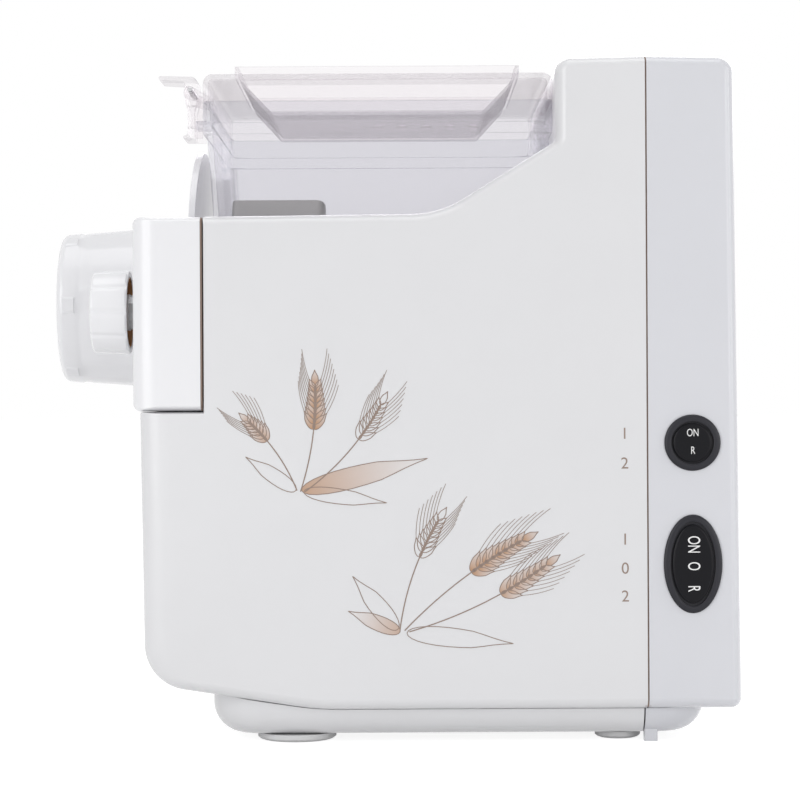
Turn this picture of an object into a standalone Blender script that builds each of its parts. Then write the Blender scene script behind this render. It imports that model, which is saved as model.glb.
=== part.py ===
"""Electric pasta maker: a kneading bowl beside a gear column, with a screw that presses dough through a die.

Metres, +Z up. +X is the rear with the gear column, -X the front with the die nut, -Y the side with the switches.
"""

import math

import bmesh
import bpy
from mathutils import Matrix, Vector

# Clearances
FIT_GAP = 0.0003
CUT_OVERRUN = 0.02
TINY_RADIUS = 0.00005

# Case
CASE_WIDTH = 0.200
MAIN_SHELL_LENGTH = 0.218
REAR_SHELL_LENGTH = 0.0415
CASE_WALL = 0.0025
UNDERSIDE_HEIGHT = 0.0155
DECK_HEIGHT = 0.2298
DECK_FALL = 0.0008
COLUMN_RISE = 0.0056
COLUMN_LENGTH = 0.0795
COLUMN_CROWN = 0.0008
COLUMN_RADIUS = 0.007
COLUMN_FILLET = 0.0055
SLOPE_RISE = 0.0309
SLOPE_LENGTH = 0.050
SLOPE_FOOT_RADIUS = 0.045
SLOPE_HEAD_RADIUS = 0.003
NOSE_RISE = 0.0115
NOSE_RISE_LENGTH = 0.076
UNDERSIDE_RADIUS = 0.120
FRONT_BOTTOM_RADIUS = 0.020
FRONT_LEAN = 0.0016
REAR_LEAN = 0.0025
REAR_BOTTOM_RADIUS = 0.0045
FRONT_FILLET = 0.012
REAR_FILLET = 0.008
TOP_FILLET = 0.0042
BOTTOM_FILLET = 0.005
EDGE_DEPTH = 0.008

# Front panel
NOSE_LENGTH = 0.0275
NOSE_EDGE_FILLET = 0.001
LEDGE_HEIGHT = 0.1445
PANEL_STEP = 0.003
PANEL_DROP = 0.001
PANEL_CORNER = 0.0035
PANEL_TOP_FILLET = 0.0025
CREST_SETBACK = 0.0165
CREST_THICKNESS = 0.003
CREST_HEIGHT = 0.0362
CREST_HALF_WIDTH = 0.058
CREST_LEAN = 0.0052

# Plinth and feet
STAND_HEIGHT = 0.0035
PLINTH_SETBACK = 0.008
PLINTH_FRONT_INSET = 0.0298
PLINTH_REAR_INSET = 0.0141
PLINTH_CORNER = 0.022
PLINTH_FILLET = 0.013
PLINTH_FILLET_DEPTH = 0.015
PLINTH_TOP_SPARE = 0.012
LUG_FOOT_LENGTH = 0.0058
LUG_FOOT_WIDTH = 0.006
FRONT_FOOT_RADIUS = 0.0173
FRONT_FOOT_INSET = 0.0365
REAR_FOOT_RADIUS = 0.010
REAR_FOOT_INSET = 0.0375
FOOT_SPACING = 0.136
VENT_LENGTH = 0.030
VENT_WIDTH = 0.003
VENT_PITCH = 0.0075
VENT_COLUMN_OFFSET = 0.0195
VENT_COUNT = 7
REAR_VENT_HEIGHT = 0.165
FLOOR_VENT_INSET = 0.085

# Bowl
AXIS_DROP = 0.0368
BOWL_WALL = 0.0023
BOWL_RADIUS = 0.074
BOWL_REAR_GAP = 0.0012
BOWL_FRONT_GAP = 0.0005
BOWL_FLARE = 0.0034
BOWL_EDGE_FILLET = 0.012
RIM_RISE = 0.0498
RIM_HALF_WIDTH = 0.0840
RIM_FLANGE = 0.003
RIM_BAND = 0.014
RIM_LEDGE_DROP = 0.0089
RIM_LEDGE_WIDTH = 0.0024
RIM_CORNER = 0.005
CATCH_THICKNESS = 0.0032
CATCH_LENGTH = 0.0092
CATCH_HALF_WIDTH = 0.009
WELL_GAP = 0.0024
WELL_WALL = 0.002
CRADLE_THICKNESS = 0.003
CRADLE_HALF_WIDTH = 0.062
CRADLE_HEIGHT = 0.140
CRADLE_SETBACK = 0.046

# Lid
LID_WALL = 0.0022
LID_HEIGHT = 0.012
LID_RADIUS = 0.004
TROUGH_RIM = 0.0045
TROUGH_FLOOR_DROP = 0.0036
TROUGH_HALF_WIDTH = 0.060
TROUGH_FRONT_INSET = 0.0125
TROUGH_REAR_INSET = 0.0135
TROUGH_END_SLANT = 0.0155
TROUGH_HOLE_RADIUS = 0.0024
TROUGH_HOLE_PITCH = 0.0112
TROUGH_HOLE_COUNT = 5
LATCH_THICKNESS = 0.003
LATCH_HALF_WIDTH = 0.013
LATCH_DROP = 0.0234
LATCH_KNUCKLE_RADIUS = 0.003
LATCH_TAB_LENGTH = 0.0148
LATCH_TAB_THICKNESS = 0.0028
LATCH_TAB_RISE = 0.0063
LATCH_LIP = 0.002
LATCH_WEB_REACH = 0.004
LATCH_WEB_THICKNESS = 0.002
LATCH_WINDOW_HALF_WIDTH = 0.005
LATCH_WINDOW_HEIGHT = 0.010
LATCH_NECK_HEIGHT = 0.0094
PIN_RADIUS = 0.0012
EAR_THICKNESS = 0.003
EAR_HEIGHT = 0.0075
PIN_TO_RIM = 0.0138

# Extruder
BARREL_RADIUS = 0.028
BARREL_BORE_RADIUS = 0.023
BARREL_FLANGE_RADIUS = 0.0325
BARREL_FLANGE_THICKNESS = 0.004
NUT_LENGTH = 0.040
NUT_GAP = 0.0045
NUT_REAR_RADIUS = 0.0367
NUT_FRONT_RADIUS = 0.0333
NUT_DOME = 0.0045
NUT_CAP_LENGTH = 0.012
NUT_LIP_THICKNESS = 0.0046
NUT_MOUTH_RADIUS = 0.021
NUT_GRIP_DEPTH = 0.0012
NUT_GRIP_COUNT = 6
NUT_RIB_LENGTH = 0.0095
NUT_RIB_WIDTH = 0.009
NUT_RIB_STAND = 0.0005
DIE_THICKNESS = 0.004
DIE_HOLE_RADIUS = 0.0017
DIE_INNER_RING_RADIUS = 0.0072
DIE_OUTER_RING_RADIUS = 0.0145
DIE_INNER_RING_COUNT = 6
DIE_OUTER_RING_COUNT = 12
AUGER_CORE_RADIUS = 0.009
AUGER_FLIGHT_RADIUS = 0.0222
AUGER_FLIGHT_THICKNESS = 0.0036
AUGER_PITCH = 0.024
AUGER_TURNS = 4
AUGER_TIP_GAP = 0.0028
AUGER_FLIGHT_SINK = 0.001
SHAFT_RADIUS = 0.008
SOCKET_DEPTH = 0.012
SOCKET_RADIUS = 0.0061
COUPLING_RADIUS = 0.0057
COUPLING_SETBACK = 0.0065

# Hand nuts on their studs
STUD_SPACING = 0.140
STUD_HEIGHT = 0.1885
STUD_RADIUS = 0.003
STUD_FLANGE_RADIUS = 0.007
STUD_FLANGE_THICKNESS = 0.003
HAND_NUT_RADIUS = 0.0186
HAND_NUT_LENGTH = 0.0170
HAND_NUT_GRIP_DEPTH = 0.0011
HAND_NUT_GRIP_COUNT = 10
HAND_NUT_HUB_RADIUS = 0.008
HAND_NUT_RECESS = 0.006
HAND_NUT_RIM = 0.003
HAND_NUT_TOP = 0.003
COLLAR_RADIUS = 0.0075
COLLAR_LENGTH = 0.0034

# Paddles
PADDLE_HUB_RADIUS = 0.0125
PADDLE_SWEEP_RADIUS = 0.0655
PADDLE_BAR_LENGTH = 0.042
PADDLE_BAR_THICKNESS = 0.004
PADDLE_ARM_WIDTH = 0.012
PADDLE_HUB_LENGTH = 0.060
PADDLE_ANGLE_DEG = 142.0

# Drive
BULKHEAD_GAP = 0.0004
BULKHEAD_THICKNESS = 0.0026
BULKHEAD_CORNER = 0.010
FINAL_MODULE = 0.002
FINAL_GEAR_TEETH = 60
FINAL_PINION_TEETH = 12
FINAL_FACE_WIDTH = 0.012
FIRST_MODULE = 0.0015
FIRST_GEAR_TEETH = 60
FIRST_PINION_TEETH = 10
FIRST_FACE_WIDTH = 0.010
FINAL_GEAR_SETBACK = 0.0070
STAGE_GAP = 0.003
GEARBOX_DEPTH = 0.037
GEARBOX_PLATE_THICKNESS = 0.0025
GEARBOX_PLATE_HALF_WIDTH = 0.073
GEARBOX_PLATE_MARGIN = 0.012
GEARBOX_PLATE_CORNER = 0.010
POST_RADIUS = 0.004
UPPER_POST_SPACING = 0.134
LOWER_POST_SPACING = 0.110
LOWER_POST_DROP = 0.034
BEARING_RADIUS = 0.016
BEARING_LENGTH = 0.008
LAYSHAFT_RADIUS = 0.005
BUSH_RADIUS = 0.009
BUSH_LENGTH = 0.006
MOTOR_RADIUS = 0.036
MOTOR_LENGTH = 0.082
MOTOR_BELL_RADIUS = 0.024
MOTOR_BELL_LENGTH = 0.012
MOTOR_SHAFT_RADIUS = 0.004
FAN_RADIUS = 0.029
FAN_HUB_RADIUS = 0.011
FAN_WIDTH = 0.012
FAN_BLADES = 9
FAN_GAP = 0.004
SEAL_RADIUS = 0.0125
SEAL_LENGTH = 0.004
CAPACITOR_RADIUS = 0.015
CAPACITOR_LENGTH = 0.052
CAPACITOR_OFFSET = 0.042
CAPACITOR_BASE_HEIGHT = 0.150
TERMINAL_LENGTH = 0.036
TERMINAL_HEIGHT = 0.016
TERMINAL_DEPTH = 0.012
TERMINAL_OFFSET = 0.030
TERMINAL_BASE_HEIGHT = 0.100

# Switches
SWITCH_X_FROM_REAR = 0.0214
ROUND_SWITCH_HEIGHT = 0.1302
OVAL_SWITCH_HEIGHT = 0.0781
BEZEL_STAND = 0.0014
BEZEL_LIP = 0.0018
SWITCH_BODY_DEPTH = 0.020
ROUND_BEZEL_RADIUS = 0.0121
ROUND_ROCKER_RADIUS = 0.0085
OVAL_BEZEL_HALF_LENGTH = 0.0212
OVAL_BEZEL_HALF_WIDTH = 0.0126
OVAL_ROCKER_HALF_LENGTH = 0.0170
OVAL_ROCKER_HALF_WIDTH = 0.0090
ROCKER_STAND = 0.0006
ROCKER_DEPTH = 0.008
ROCKER_CROWN = 0.0010

# Cord gland, lid switch and its magnet
GLAND_HEIGHT = 0.036
GLAND_OFFSET = 0.050
GLAND_RADIUS = 0.0075
GLAND_BORE_RADIUS = 0.0036
GLAND_LENGTH = 0.012
REED_LENGTH = 0.018
REED_HEIGHT = 0.008
REED_DEPTH = 0.005

# Facets
ARC_STEP_DEG = 22.5
FILLET_STEPS = 2
INNER_FILLET_STEPS = 1
LARGE_SIDES = 30
MEDIUM_SIDES = 24
SMALL_SIDES = 12
HOLE_SIDES = 6
SCREW_STEPS = 12
SHARP_ANGLE_DEG = 32.0

# Tooth shares of the module and of the tooth pitch
ADDENDUM_SHARE = 0.9
DEDENDUM_SHARE = 1.15
ROOT_WIDTH_SHARE = 0.56
TIP_WIDTH_SHARE = 0.20

# Places worked out from the sizes
CASE_HALF = CASE_WIDTH / 2
OVERALL_LENGTH = NUT_LENGTH + NUT_GAP + PANEL_STEP + MAIN_SHELL_LENGTH + REAR_SHELL_LENGTH
REAR_X = OVERALL_LENGTH / 2
SLOPE_TOP = DECK_HEIGHT + SLOPE_RISE
AXIS_HEIGHT = DECK_HEIGHT - AXIS_DROP
RIM_HEIGHT = DECK_HEIGHT + RIM_RISE
LID_BOTTOM = RIM_HEIGHT + FIT_GAP
LID_TOP = LID_BOTTOM + LID_HEIGHT
COLUMN_HEIGHT = LID_TOP + COLUMN_RISE
SEAM_X = REAR_X - REAR_SHELL_LENGTH
FRONT_X = SEAM_X - MAIN_SHELL_LENGTH
NOSE_X = FRONT_X + NOSE_LENGTH
PANEL_X = FRONT_X - PANEL_STEP
COLUMN_X = REAR_X - COLUMN_LENGTH
NUT_FRONT_X = PANEL_X - NUT_GAP - NUT_LENGTH
NUT_REAR_X = PANEL_X - NUT_GAP
DIE_FRONT_X = NUT_FRONT_X + NUT_LIP_THICKNESS + FIT_GAP
BARREL_FRONT_X = DIE_FRONT_X + DIE_THICKNESS + FIT_GAP
BOWL_FRONT_X = NOSE_X + CASE_WALL + BOWL_FRONT_GAP
BOWL_REAR_X = COLUMN_X - BOWL_REAR_GAP
BOWL_BOTTOM = AXIS_HEIGHT - BOWL_RADIUS
BULKHEAD_X = COLUMN_X + BULKHEAD_GAP
DRIVE_X = BULKHEAD_X + BULKHEAD_THICKNESS
LAYSHAFT_HEIGHT = AXIS_HEIGHT - FINAL_MODULE * (FINAL_GEAR_TEETH + FINAL_PINION_TEETH) / 2
MOTOR_HEIGHT = LAYSHAFT_HEIGHT - FIRST_MODULE * (FIRST_GEAR_TEETH + FIRST_PINION_TEETH) / 2
FINAL_GEAR_X = DRIVE_X + FINAL_GEAR_SETBACK
FIRST_GEAR_X = FINAL_GEAR_X + FINAL_FACE_WIDTH + STAGE_GAP
GEARBOX_PLATE_X = DRIVE_X + GEARBOX_DEPTH
SWITCH_X = REAR_X - SWITCH_X_FROM_REAR
LID_FRONT_X = BOWL_FRONT_X - BOWL_FLARE
CATCH_X = LID_FRONT_X - CATCH_LENGTH
PIN_X = CATCH_X - FIT_GAP - LATCH_THICKNESS / 2
PIN_HEIGHT = RIM_HEIGHT + PIN_TO_RIM

WHITE = (0.86, 0.86, 0.87, 1.0)
OFF_WHITE = (0.80, 0.80, 0.82, 1.0)
CLEAR = (0.85, 0.83, 0.90, 0.35)
CHARCOAL = (0.03, 0.03, 0.035, 1.0)
BLACK = (0.01, 0.01, 0.012, 1.0)
STEEL = (0.62, 0.62, 0.63, 1.0)
ZINC = (0.50, 0.51, 0.53, 1.0)
BRASS = (0.72, 0.52, 0.25, 1.0)
NYLON = (0.78, 0.76, 0.70, 1.0)
GREY = (0.22, 0.22, 0.24, 1.0)


def clear_scene():
    for old in list(bpy.data.objects):
        bpy.data.objects.remove(old, do_unlink=True)


def make_material(name, color, roughness, metallic=0.0):
    material = bpy.data.materials.new(name)
    material.use_nodes = True
    shader = material.node_tree.nodes["Principled BSDF"]
    shader.inputs["Base Color"].default_value = color
    shader.inputs["Roughness"].default_value = roughness
    shader.inputs["Metallic"].default_value = metallic
    shader.inputs["Alpha"].default_value = color[3]
    return material


def add_object(name, bm, origin=(0, 0, 0)):
    """A mesh object under the machine's empty, with its own origin at the given point."""
    bmesh.ops.translate(bm, verts=bm.verts, vec=-Vector(origin))
    mesh = bpy.data.meshes.new(name)
    bm.to_mesh(mesh)
    bm.free()
    obj = bpy.data.objects.new(name, mesh)
    bpy.context.scene.collection.objects.link(obj)
    obj.location = origin
    obj.parent = machine
    return obj


def add_part(name, bm, material, origin=(0, 0, 0)):
    part = add_object(name, bm, origin)
    part.data.materials.append(material)
    part.data.shade_smooth()
    part.data.set_sharp_from_angle(angle=math.radians(SHARP_ANGLE_DEG))
    return part


def combine(part, bm, operation):
    """Keeps a Boolean of the part with a hidden helper made from the mesh."""
    helper = add_object("helper_" + part.name, bm)
    helper.hide_render = True
    helper.display_type = "WIRE"
    modifier = part.modifiers.new(operation.lower(), "BOOLEAN")
    modifier.operation = operation
    modifier.object = helper


def cut(part, bm):
    combine(part, bm, "DIFFERENCE")


def join(part, bm):
    combine(part, bm, "UNION")


def to_space(axis, u, v, w):
    """A point of an outline (u, v) at w along the axis that the outline is drawn out on."""
    if axis == "X":
        return (w, u, v)
    if axis == "Y":
        return (u, w, v)
    return (u, v, w)


def loft(rings, closed=False):
    """A solid through rings with equal counts, capped at both ends, or joined into a tube that closes on itself."""
    bm = bmesh.new()
    loops = [[bm.verts.new(point) for point in ring] for ring in rings]
    follow = loops[1:] + loops[:1] if closed else loops[1:]
    for near, far in zip(loops, follow):
        for index in range(len(near)):
            after = (index + 1) % len(near)
            bm.faces.new((near[index], near[after], far[after], far[index]))
    if not closed:
        bm.faces.new(loops[0])
        bm.faces.new(loops[-1])
    bmesh.ops.recalc_face_normals(bm, faces=bm.faces)
    return bm


def moved_corners(corners, distances):
    """Each corner where its two edges meet after both move inwards by their own distances."""
    moved = []
    for index, corner in enumerate(corners):
        here = Vector(corner[:2])
        run_in = (here - Vector(corners[index - 1][:2])).normalized()
        run_out = (Vector(corners[(index + 1) % len(corners)][:2]) - here).normalized()
        normal_in = Vector((-run_in.y, run_in.x))
        normal_out = Vector((-run_out.y, run_out.x))
        turn = run_in.cross(run_out)
        step_in = normal_in * distances[index - 1]
        step_out = normal_out * distances[index]
        if abs(turn) < math.sin(math.radians(1)):
            moved.append(here + step_out)
        else:
            moved.append(here + step_in + run_in * ((step_out - step_in).cross(run_out) / turn))
    return moved


def outline_points(corners, distances):
    """Points of a rounded outline, anticlockwise, whose edges have moved inwards by the distances."""
    places = moved_corners(corners, distances)
    count = len(corners)
    points = []
    for index, place in enumerate(places):
        radius = corners[index][2]
        run_in = place - places[index - 1]
        run_out = places[(index + 1) % count] - place
        angle = run_in.angle_signed(run_out, 0.0) * -1
        if radius == 0 or abs(angle) < math.radians(1):
            points.append(place)
            continue
        inwards = (distances[index - 1] + distances[index]) / 2
        radius = max(radius - inwards if angle > 0 else radius + inwards, TINY_RADIUS)
        half_tangent = math.tan(abs(angle) / 2)
        radius = min(radius, min(run_in.length, run_out.length) / 2 / half_tangent)
        along = run_in.normalized()
        side = Vector((-along.y, along.x)) * math.copysign(1, angle)
        start = place - along * radius * half_tangent
        steps = max(1, math.ceil(abs(angle) / math.radians(ARC_STEP_DEG)))
        for step in range(steps + 1):
            part_angle = abs(angle) * step / steps
            points.append(
                start + along * radius * math.sin(part_angle) + side * radius * (1 - math.cos(part_angle))
            )
    return points


def prism(corners, axis, low, high, low_depth=0, high_depth=0, wall=0, steps=FILLET_STEPS):
    """A rounded outline drawn out along an axis, with its own fillet on each edge at either end.

    A corner is (u, v, radius, fillet of the edge that follows), and a fillet of None marks an open edge. With a wall,
    the shape is the hollow inside it, which runs out through the open edges.
    """

    def distances(share):
        found = []
        for corner in corners:
            if corner[3] is None:
                found.append(-CUT_OVERRUN if wall else 0)
            else:
                found.append(wall + max(corner[3] - wall, 0) * share)
        return found

    def ring(share, place):
        return [to_space(axis, p.x, p.y, place) for p in outline_points(corners, distances(share))]

    def end_rings(place, depth, direction):
        if depth == 0:
            return [ring(0, place)]
        shares = [math.pi / 2 * step / steps for step in range(steps + 1)]
        return [ring(1 - math.sin(turn), place + direction * depth * (1 - math.cos(turn))) for turn in shares]

    low_rings = end_rings(low + wall, max(low_depth - wall, 0), 1)
    high_rings = end_rings(high - wall, max(high_depth - wall, 0), -1)
    return loft(low_rings + high_rings[::-1])


def grown_prism(corners, axis, low, high, grow):
    """A plain prism of an outline grown all round by a gap, to cut the seat of the shape with that outline."""
    points = outline_points(corners, [-grow] * len(corners))
    return loft([[to_space(axis, p.x, p.y, place) for p in points] for place in (low, high)])


def circle(axis, center, radius, place, sides, lobes=0, depth=0, flats=0, turn=0):
    """A ring of points round an axis, plain, fluted with shallow lobes, or with straight flats."""
    points = []
    for index in range(sides):
        angle = 2 * math.pi * index / sides
        reach = radius
        if lobes:
            reach -= depth * (1 - math.cos(lobes * angle)) / 2
        if flats:
            half = math.pi / flats
            reach *= math.cos(half) / math.cos(angle % (2 * half) - half)
        u = center[0] + reach * math.cos(angle + turn)
        v = center[1] + reach * math.sin(angle + turn)
        points.append(to_space(axis, u, v, place))
    return points


def turned(axis, center, profile, sides, closed=False, **shape):
    """A turned solid from (place, radius) pairs. Closed, the profile runs down the outside and back up a bore."""
    return loft([circle(axis, center, radius, place, sides, **shape) for place, radius in profile], closed)


def cylinder(axis, center, radius, low, high, sides=MEDIUM_SIDES, **shape):
    return turned(axis, center, [(low, radius), (high, radius)], sides, **shape)


def tube(axis, center, radius, bore, low, high, sides=MEDIUM_SIDES):
    return turned(axis, center, [(low, radius), (high, radius), (high, bore), (low, bore)], sides, closed=True)


def block(low, high):
    """A box between two corners."""
    corners = [
        (low[0], low[1], 0, 0),
        (high[0], low[1], 0, 0),
        (high[0], high[1], 0, 0),
        (low[0], high[1], 0, 0),
    ]
    return prism(corners, "Z", low[2], high[2])


def merged(meshes):
    """One mesh that holds several separate solids, for use as a helper."""
    whole = bmesh.new()
    for bm in meshes:
        piece = bpy.data.meshes.new("piece")
        bm.to_mesh(piece)
        bm.free()
        whole.from_mesh(piece)
        bpy.data.meshes.remove(piece)
    return whole


def underside_corners(drop=0):
    """The casing's underside from its raised front to the rear, closed high above."""
    top = LEDGE_HEIGHT
    return [
        (FRONT_X + FRONT_LEAN, UNDERSIDE_HEIGHT + NOSE_RISE - drop, 0, 0),
        (FRONT_X + NOSE_RISE_LENGTH, UNDERSIDE_HEIGHT - drop, UNDERSIDE_RADIUS, 0),
        (REAR_X, UNDERSIDE_HEIGHT - drop, 0, 0),
        (REAR_X, top, 0, 0),
        (FRONT_X + FRONT_LEAN, top, 0, 0),
    ]


def main_shell_corners():
    return [
        (FRONT_X + FRONT_LEAN, UNDERSIDE_HEIGHT + NOSE_RISE, FRONT_BOTTOM_RADIUS, BOTTOM_FILLET),
        (FRONT_X + NOSE_RISE_LENGTH, UNDERSIDE_HEIGHT, UNDERSIDE_RADIUS, BOTTOM_FILLET),
        (SEAM_X, UNDERSIDE_HEIGHT, 0, None),
        (SEAM_X, COLUMN_HEIGHT, 0, TOP_FILLET),
        (COLUMN_X, COLUMN_HEIGHT - COLUMN_CROWN, COLUMN_RADIUS, COLUMN_FILLET),
        (COLUMN_X, SLOPE_TOP, SLOPE_HEAD_RADIUS, TOP_FILLET),
        (COLUMN_X - SLOPE_LENGTH, DECK_HEIGHT, SLOPE_FOOT_RADIUS, TOP_FILLET),
        (NOSE_X, DECK_HEIGHT - DECK_FALL, NOSE_EDGE_FILLET, NOSE_EDGE_FILLET),
        (NOSE_X, LEDGE_HEIGHT, 0, NOSE_EDGE_FILLET),
        (FRONT_X, LEDGE_HEIGHT, NOSE_EDGE_FILLET, FRONT_FILLET),
    ]


def build_main_shell():
    corners = main_shell_corners()
    shell = add_part(
        "main_shell", prism(corners, "Y", -CASE_HALF, CASE_HALF, EDGE_DEPTH, EDGE_DEPTH), gloss_white
    )
    cut(shell, prism(corners, "Y", -CASE_HALF, CASE_HALF, EDGE_DEPTH, EDGE_DEPTH, CASE_WALL, INNER_FILLET_STEPS))
    opening_half = RIM_HALF_WIDTH + BOWL_FRONT_GAP
    cut(
        shell,
        block(
            (NOSE_X + CASE_WALL, -opening_half, DECK_HEIGHT - CUT_OVERRUN),
            (COLUMN_X - FIT_GAP, opening_half, COLUMN_HEIGHT + CUT_OVERRUN),
        ),
    )
    cut(
        shell,
        cylinder(
            "X", (0, AXIS_HEIGHT), BARREL_RADIUS + FIT_GAP, NOSE_X - CUT_OVERRUN, NOSE_X + CUT_OVERRUN, MEDIUM_SIDES
        ),
    )


def rear_x_at(height):
    """The rear face leans in towards its top."""
    return REAR_X - REAR_LEAN * (height - UNDERSIDE_HEIGHT) / (COLUMN_HEIGHT - UNDERSIDE_HEIGHT)


def build_rear_shell():
    seam = SEAM_X + FIT_GAP
    corners = [
        (seam, UNDERSIDE_HEIGHT, 0, BOTTOM_FILLET),
        (REAR_X, UNDERSIDE_HEIGHT, REAR_BOTTOM_RADIUS, REAR_FILLET),
        (REAR_X - REAR_LEAN, COLUMN_HEIGHT - COLUMN_CROWN, COLUMN_RADIUS, TOP_FILLET),
        (seam, COLUMN_HEIGHT, 0, None),
    ]
    shell = add_part(
        "rear_shell", prism(corners, "Y", -CASE_HALF, CASE_HALF, EDGE_DEPTH, EDGE_DEPTH), gloss_off_white
    )
    cut(shell, prism(corners, "Y", -CASE_HALF, CASE_HALF, EDGE_DEPTH, EDGE_DEPTH, CASE_WALL, INNER_FILLET_STEPS))
    slots = []
    for index in range(VENT_COUNT):
        height = REAR_VENT_HEIGHT + (index - (VENT_COUNT - 1) / 2) * VENT_PITCH
        for side in (-1, 1):
            middle = side * VENT_COLUMN_OFFSET
            slots.append(
                block(
                    (REAR_X - CUT_OVERRUN, middle - VENT_LENGTH / 2, height - VENT_WIDTH / 2),
                    (REAR_X + CUT_OVERRUN, middle + VENT_LENGTH / 2, height + VENT_WIDTH / 2),
                )
            )
    slots.append(
        cylinder(
            "X",
            (GLAND_OFFSET, GLAND_HEIGHT),
            GLAND_RADIUS + FIT_GAP,
            REAR_X - CUT_OVERRUN,
            REAR_X + CUT_OVERRUN,
            SMALL_SIDES,
        )
    )
    slots.append(
        cylinder(
            "Y",
            (SWITCH_X, ROUND_SWITCH_HEIGHT),
            ROUND_BEZEL_RADIUS - BEZEL_LIP + FIT_GAP,
            -CASE_HALF - CUT_OVERRUN,
            CUT_OVERRUN - CASE_HALF,
            MEDIUM_SIDES,
        )
    )
    slots.append(
        loft(
            [
                oval_ring(FIT_GAP - BEZEL_LIP, -CASE_HALF - CUT_OVERRUN),
                oval_ring(FIT_GAP - BEZEL_LIP, CUT_OVERRUN - CASE_HALF),
            ]
        )
    )
    cut(shell, merged(slots))


def build_front_panel():
    low = LEDGE_HEIGHT + FIT_GAP
    high = DECK_HEIGHT - PANEL_DROP
    back = NOSE_X - FIT_GAP
    corners = [
        (PANEL_X, low, PANEL_CORNER, PANEL_TOP_FILLET),
        (back, low, 0, None),
        (back, high, 0, PANEL_TOP_FILLET),
        (PANEL_X, high, PANEL_CORNER, FRONT_FILLET),
    ]
    panel = add_part(
        "front_panel", prism(corners, "Y", -CASE_HALF, CASE_HALF, EDGE_DEPTH, EDGE_DEPTH), gloss_white
    )
    crest_low = high - CASE_WALL / 2
    crest_x = PANEL_X + CREST_SETBACK
    arch = []
    for step in range(LARGE_SIDES // 2 + 1):
        turn = math.pi * step / (LARGE_SIDES // 2)
        arch.append((CREST_HALF_WIDTH * math.cos(turn), crest_low + (CREST_HEIGHT + CASE_WALL / 2) * math.sin(turn)))

    def leaning(place):
        return [(place + CREST_LEAN * (z - crest_low) / CREST_HEIGHT, y, z) for y, z in arch]

    join(panel, loft([leaning(crest_x), leaning(crest_x + CREST_THICKNESS)]))
    cut(panel, prism(corners, "Y", -CASE_HALF, CASE_HALF, EDGE_DEPTH, EDGE_DEPTH, CASE_WALL, INNER_FILLET_STEPS))
    holes = [
        cylinder(
            "X", (0, AXIS_HEIGHT), BARREL_RADIUS + FIT_GAP, PANEL_X - CUT_OVERRUN, PANEL_X + CUT_OVERRUN, MEDIUM_SIDES
        )
    ]
    for side in (-1, 1):
        holes.append(
            cylinder(
                "X",
                (side * STUD_SPACING / 2, STUD_HEIGHT),
                STUD_RADIUS + FIT_GAP,
                PANEL_X - CUT_OVERRUN,
                PANEL_X + CUT_OVERRUN,
                SMALL_SIDES,
            )
        )
    cut(panel, merged(holes))


def build_plinth():
    half = CASE_HALF - PLINTH_SETBACK
    top = UNDERSIDE_HEIGHT + PLINTH_TOP_SPARE
    front = FRONT_X + PLINTH_FRONT_INSET
    rear = REAR_X - PLINTH_REAR_INSET
    seam = SEAM_X - FIT_GAP
    after_seam = SEAM_X + FIT_GAP
    shapes = {
        "base_plinth": [
            (front, -half, PLINTH_CORNER, PLINTH_FILLET),
            (seam, -half, 0, 0),
            (seam, half, 0, PLINTH_FILLET),
            (front, half, PLINTH_CORNER, PLINTH_FILLET),
        ],
        "rear_plinth": [
            (after_seam, -half, 0, PLINTH_FILLET),
            (rear, -half, PLINTH_CORNER, PLINTH_FILLET),
            (rear, half, PLINTH_CORNER, PLINTH_FILLET),
            (after_seam, half, 0, 0),
        ],
    }
    for name, corners in shapes.items():
        material = gloss_white if name == "base_plinth" else gloss_off_white
        plinth = add_part(name, prism(corners, "Z", STAND_HEIGHT, top, PLINTH_FILLET_DEPTH), material)
        if name == "rear_plinth":
            lugs = []
            for side in (-1, 1):
                inner = side * (half - LUG_FOOT_WIDTH - PLINTH_FILLET / 2)
                outer = side * (half - PLINTH_FILLET / 2)
                lugs.append(
                    block(
                        (after_seam, min(inner, outer), 0),
                        (after_seam + LUG_FOOT_LENGTH, max(inner, outer), UNDERSIDE_HEIGHT / 2),
                    )
                )
            join(plinth, merged(lugs))
        cut(
            plinth,
            prism(
                corners,
                "Z",
                STAND_HEIGHT,
                top + CUT_OVERRUN,
                PLINTH_FILLET_DEPTH,
                wall=CASE_WALL,
                steps=INNER_FILLET_STEPS,
            ),
        )
        cut(plinth, prism(underside_corners(FIT_GAP), "Y", -CASE_HALF, CASE_HALF))
        if name == "base_plinth":
            slots = []
            for index in range(VENT_COUNT):
                place = SEAM_X - FLOOR_VENT_INSET + index * VENT_PITCH
                slots.append(
                    block(
                        (place - VENT_WIDTH / 2, -VENT_LENGTH / 2, STAND_HEIGHT - CASE_WALL),
                        (place + VENT_WIDTH / 2, VENT_LENGTH / 2, STAND_HEIGHT + CASE_WALL * 2),
                    )
                )
            cut(plinth, merged(slots))


def build_feet():
    places = {
        "foot_front_left": (FRONT_X + PLINTH_FRONT_INSET + FRONT_FOOT_INSET, -1, FRONT_FOOT_RADIUS),
        "foot_front_right": (FRONT_X + PLINTH_FRONT_INSET + FRONT_FOOT_INSET, 1, FRONT_FOOT_RADIUS),
        "foot_rear_left": (REAR_X - PLINTH_REAR_INSET - REAR_FOOT_INSET, -1, REAR_FOOT_RADIUS),
        "foot_rear_right": (REAR_X - PLINTH_REAR_INSET - REAR_FOOT_INSET, 1, REAR_FOOT_RADIUS),
    }
    for name, (x, side, radius) in places.items():
        top = STAND_HEIGHT - FIT_GAP
        profile = [(0, radius - top / 2), (top / 3, radius), (top, radius)]
        add_part(name, turned("Z", (x, side * FOOT_SPACING / 2), profile, MEDIUM_SIDES), rubber)


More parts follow.
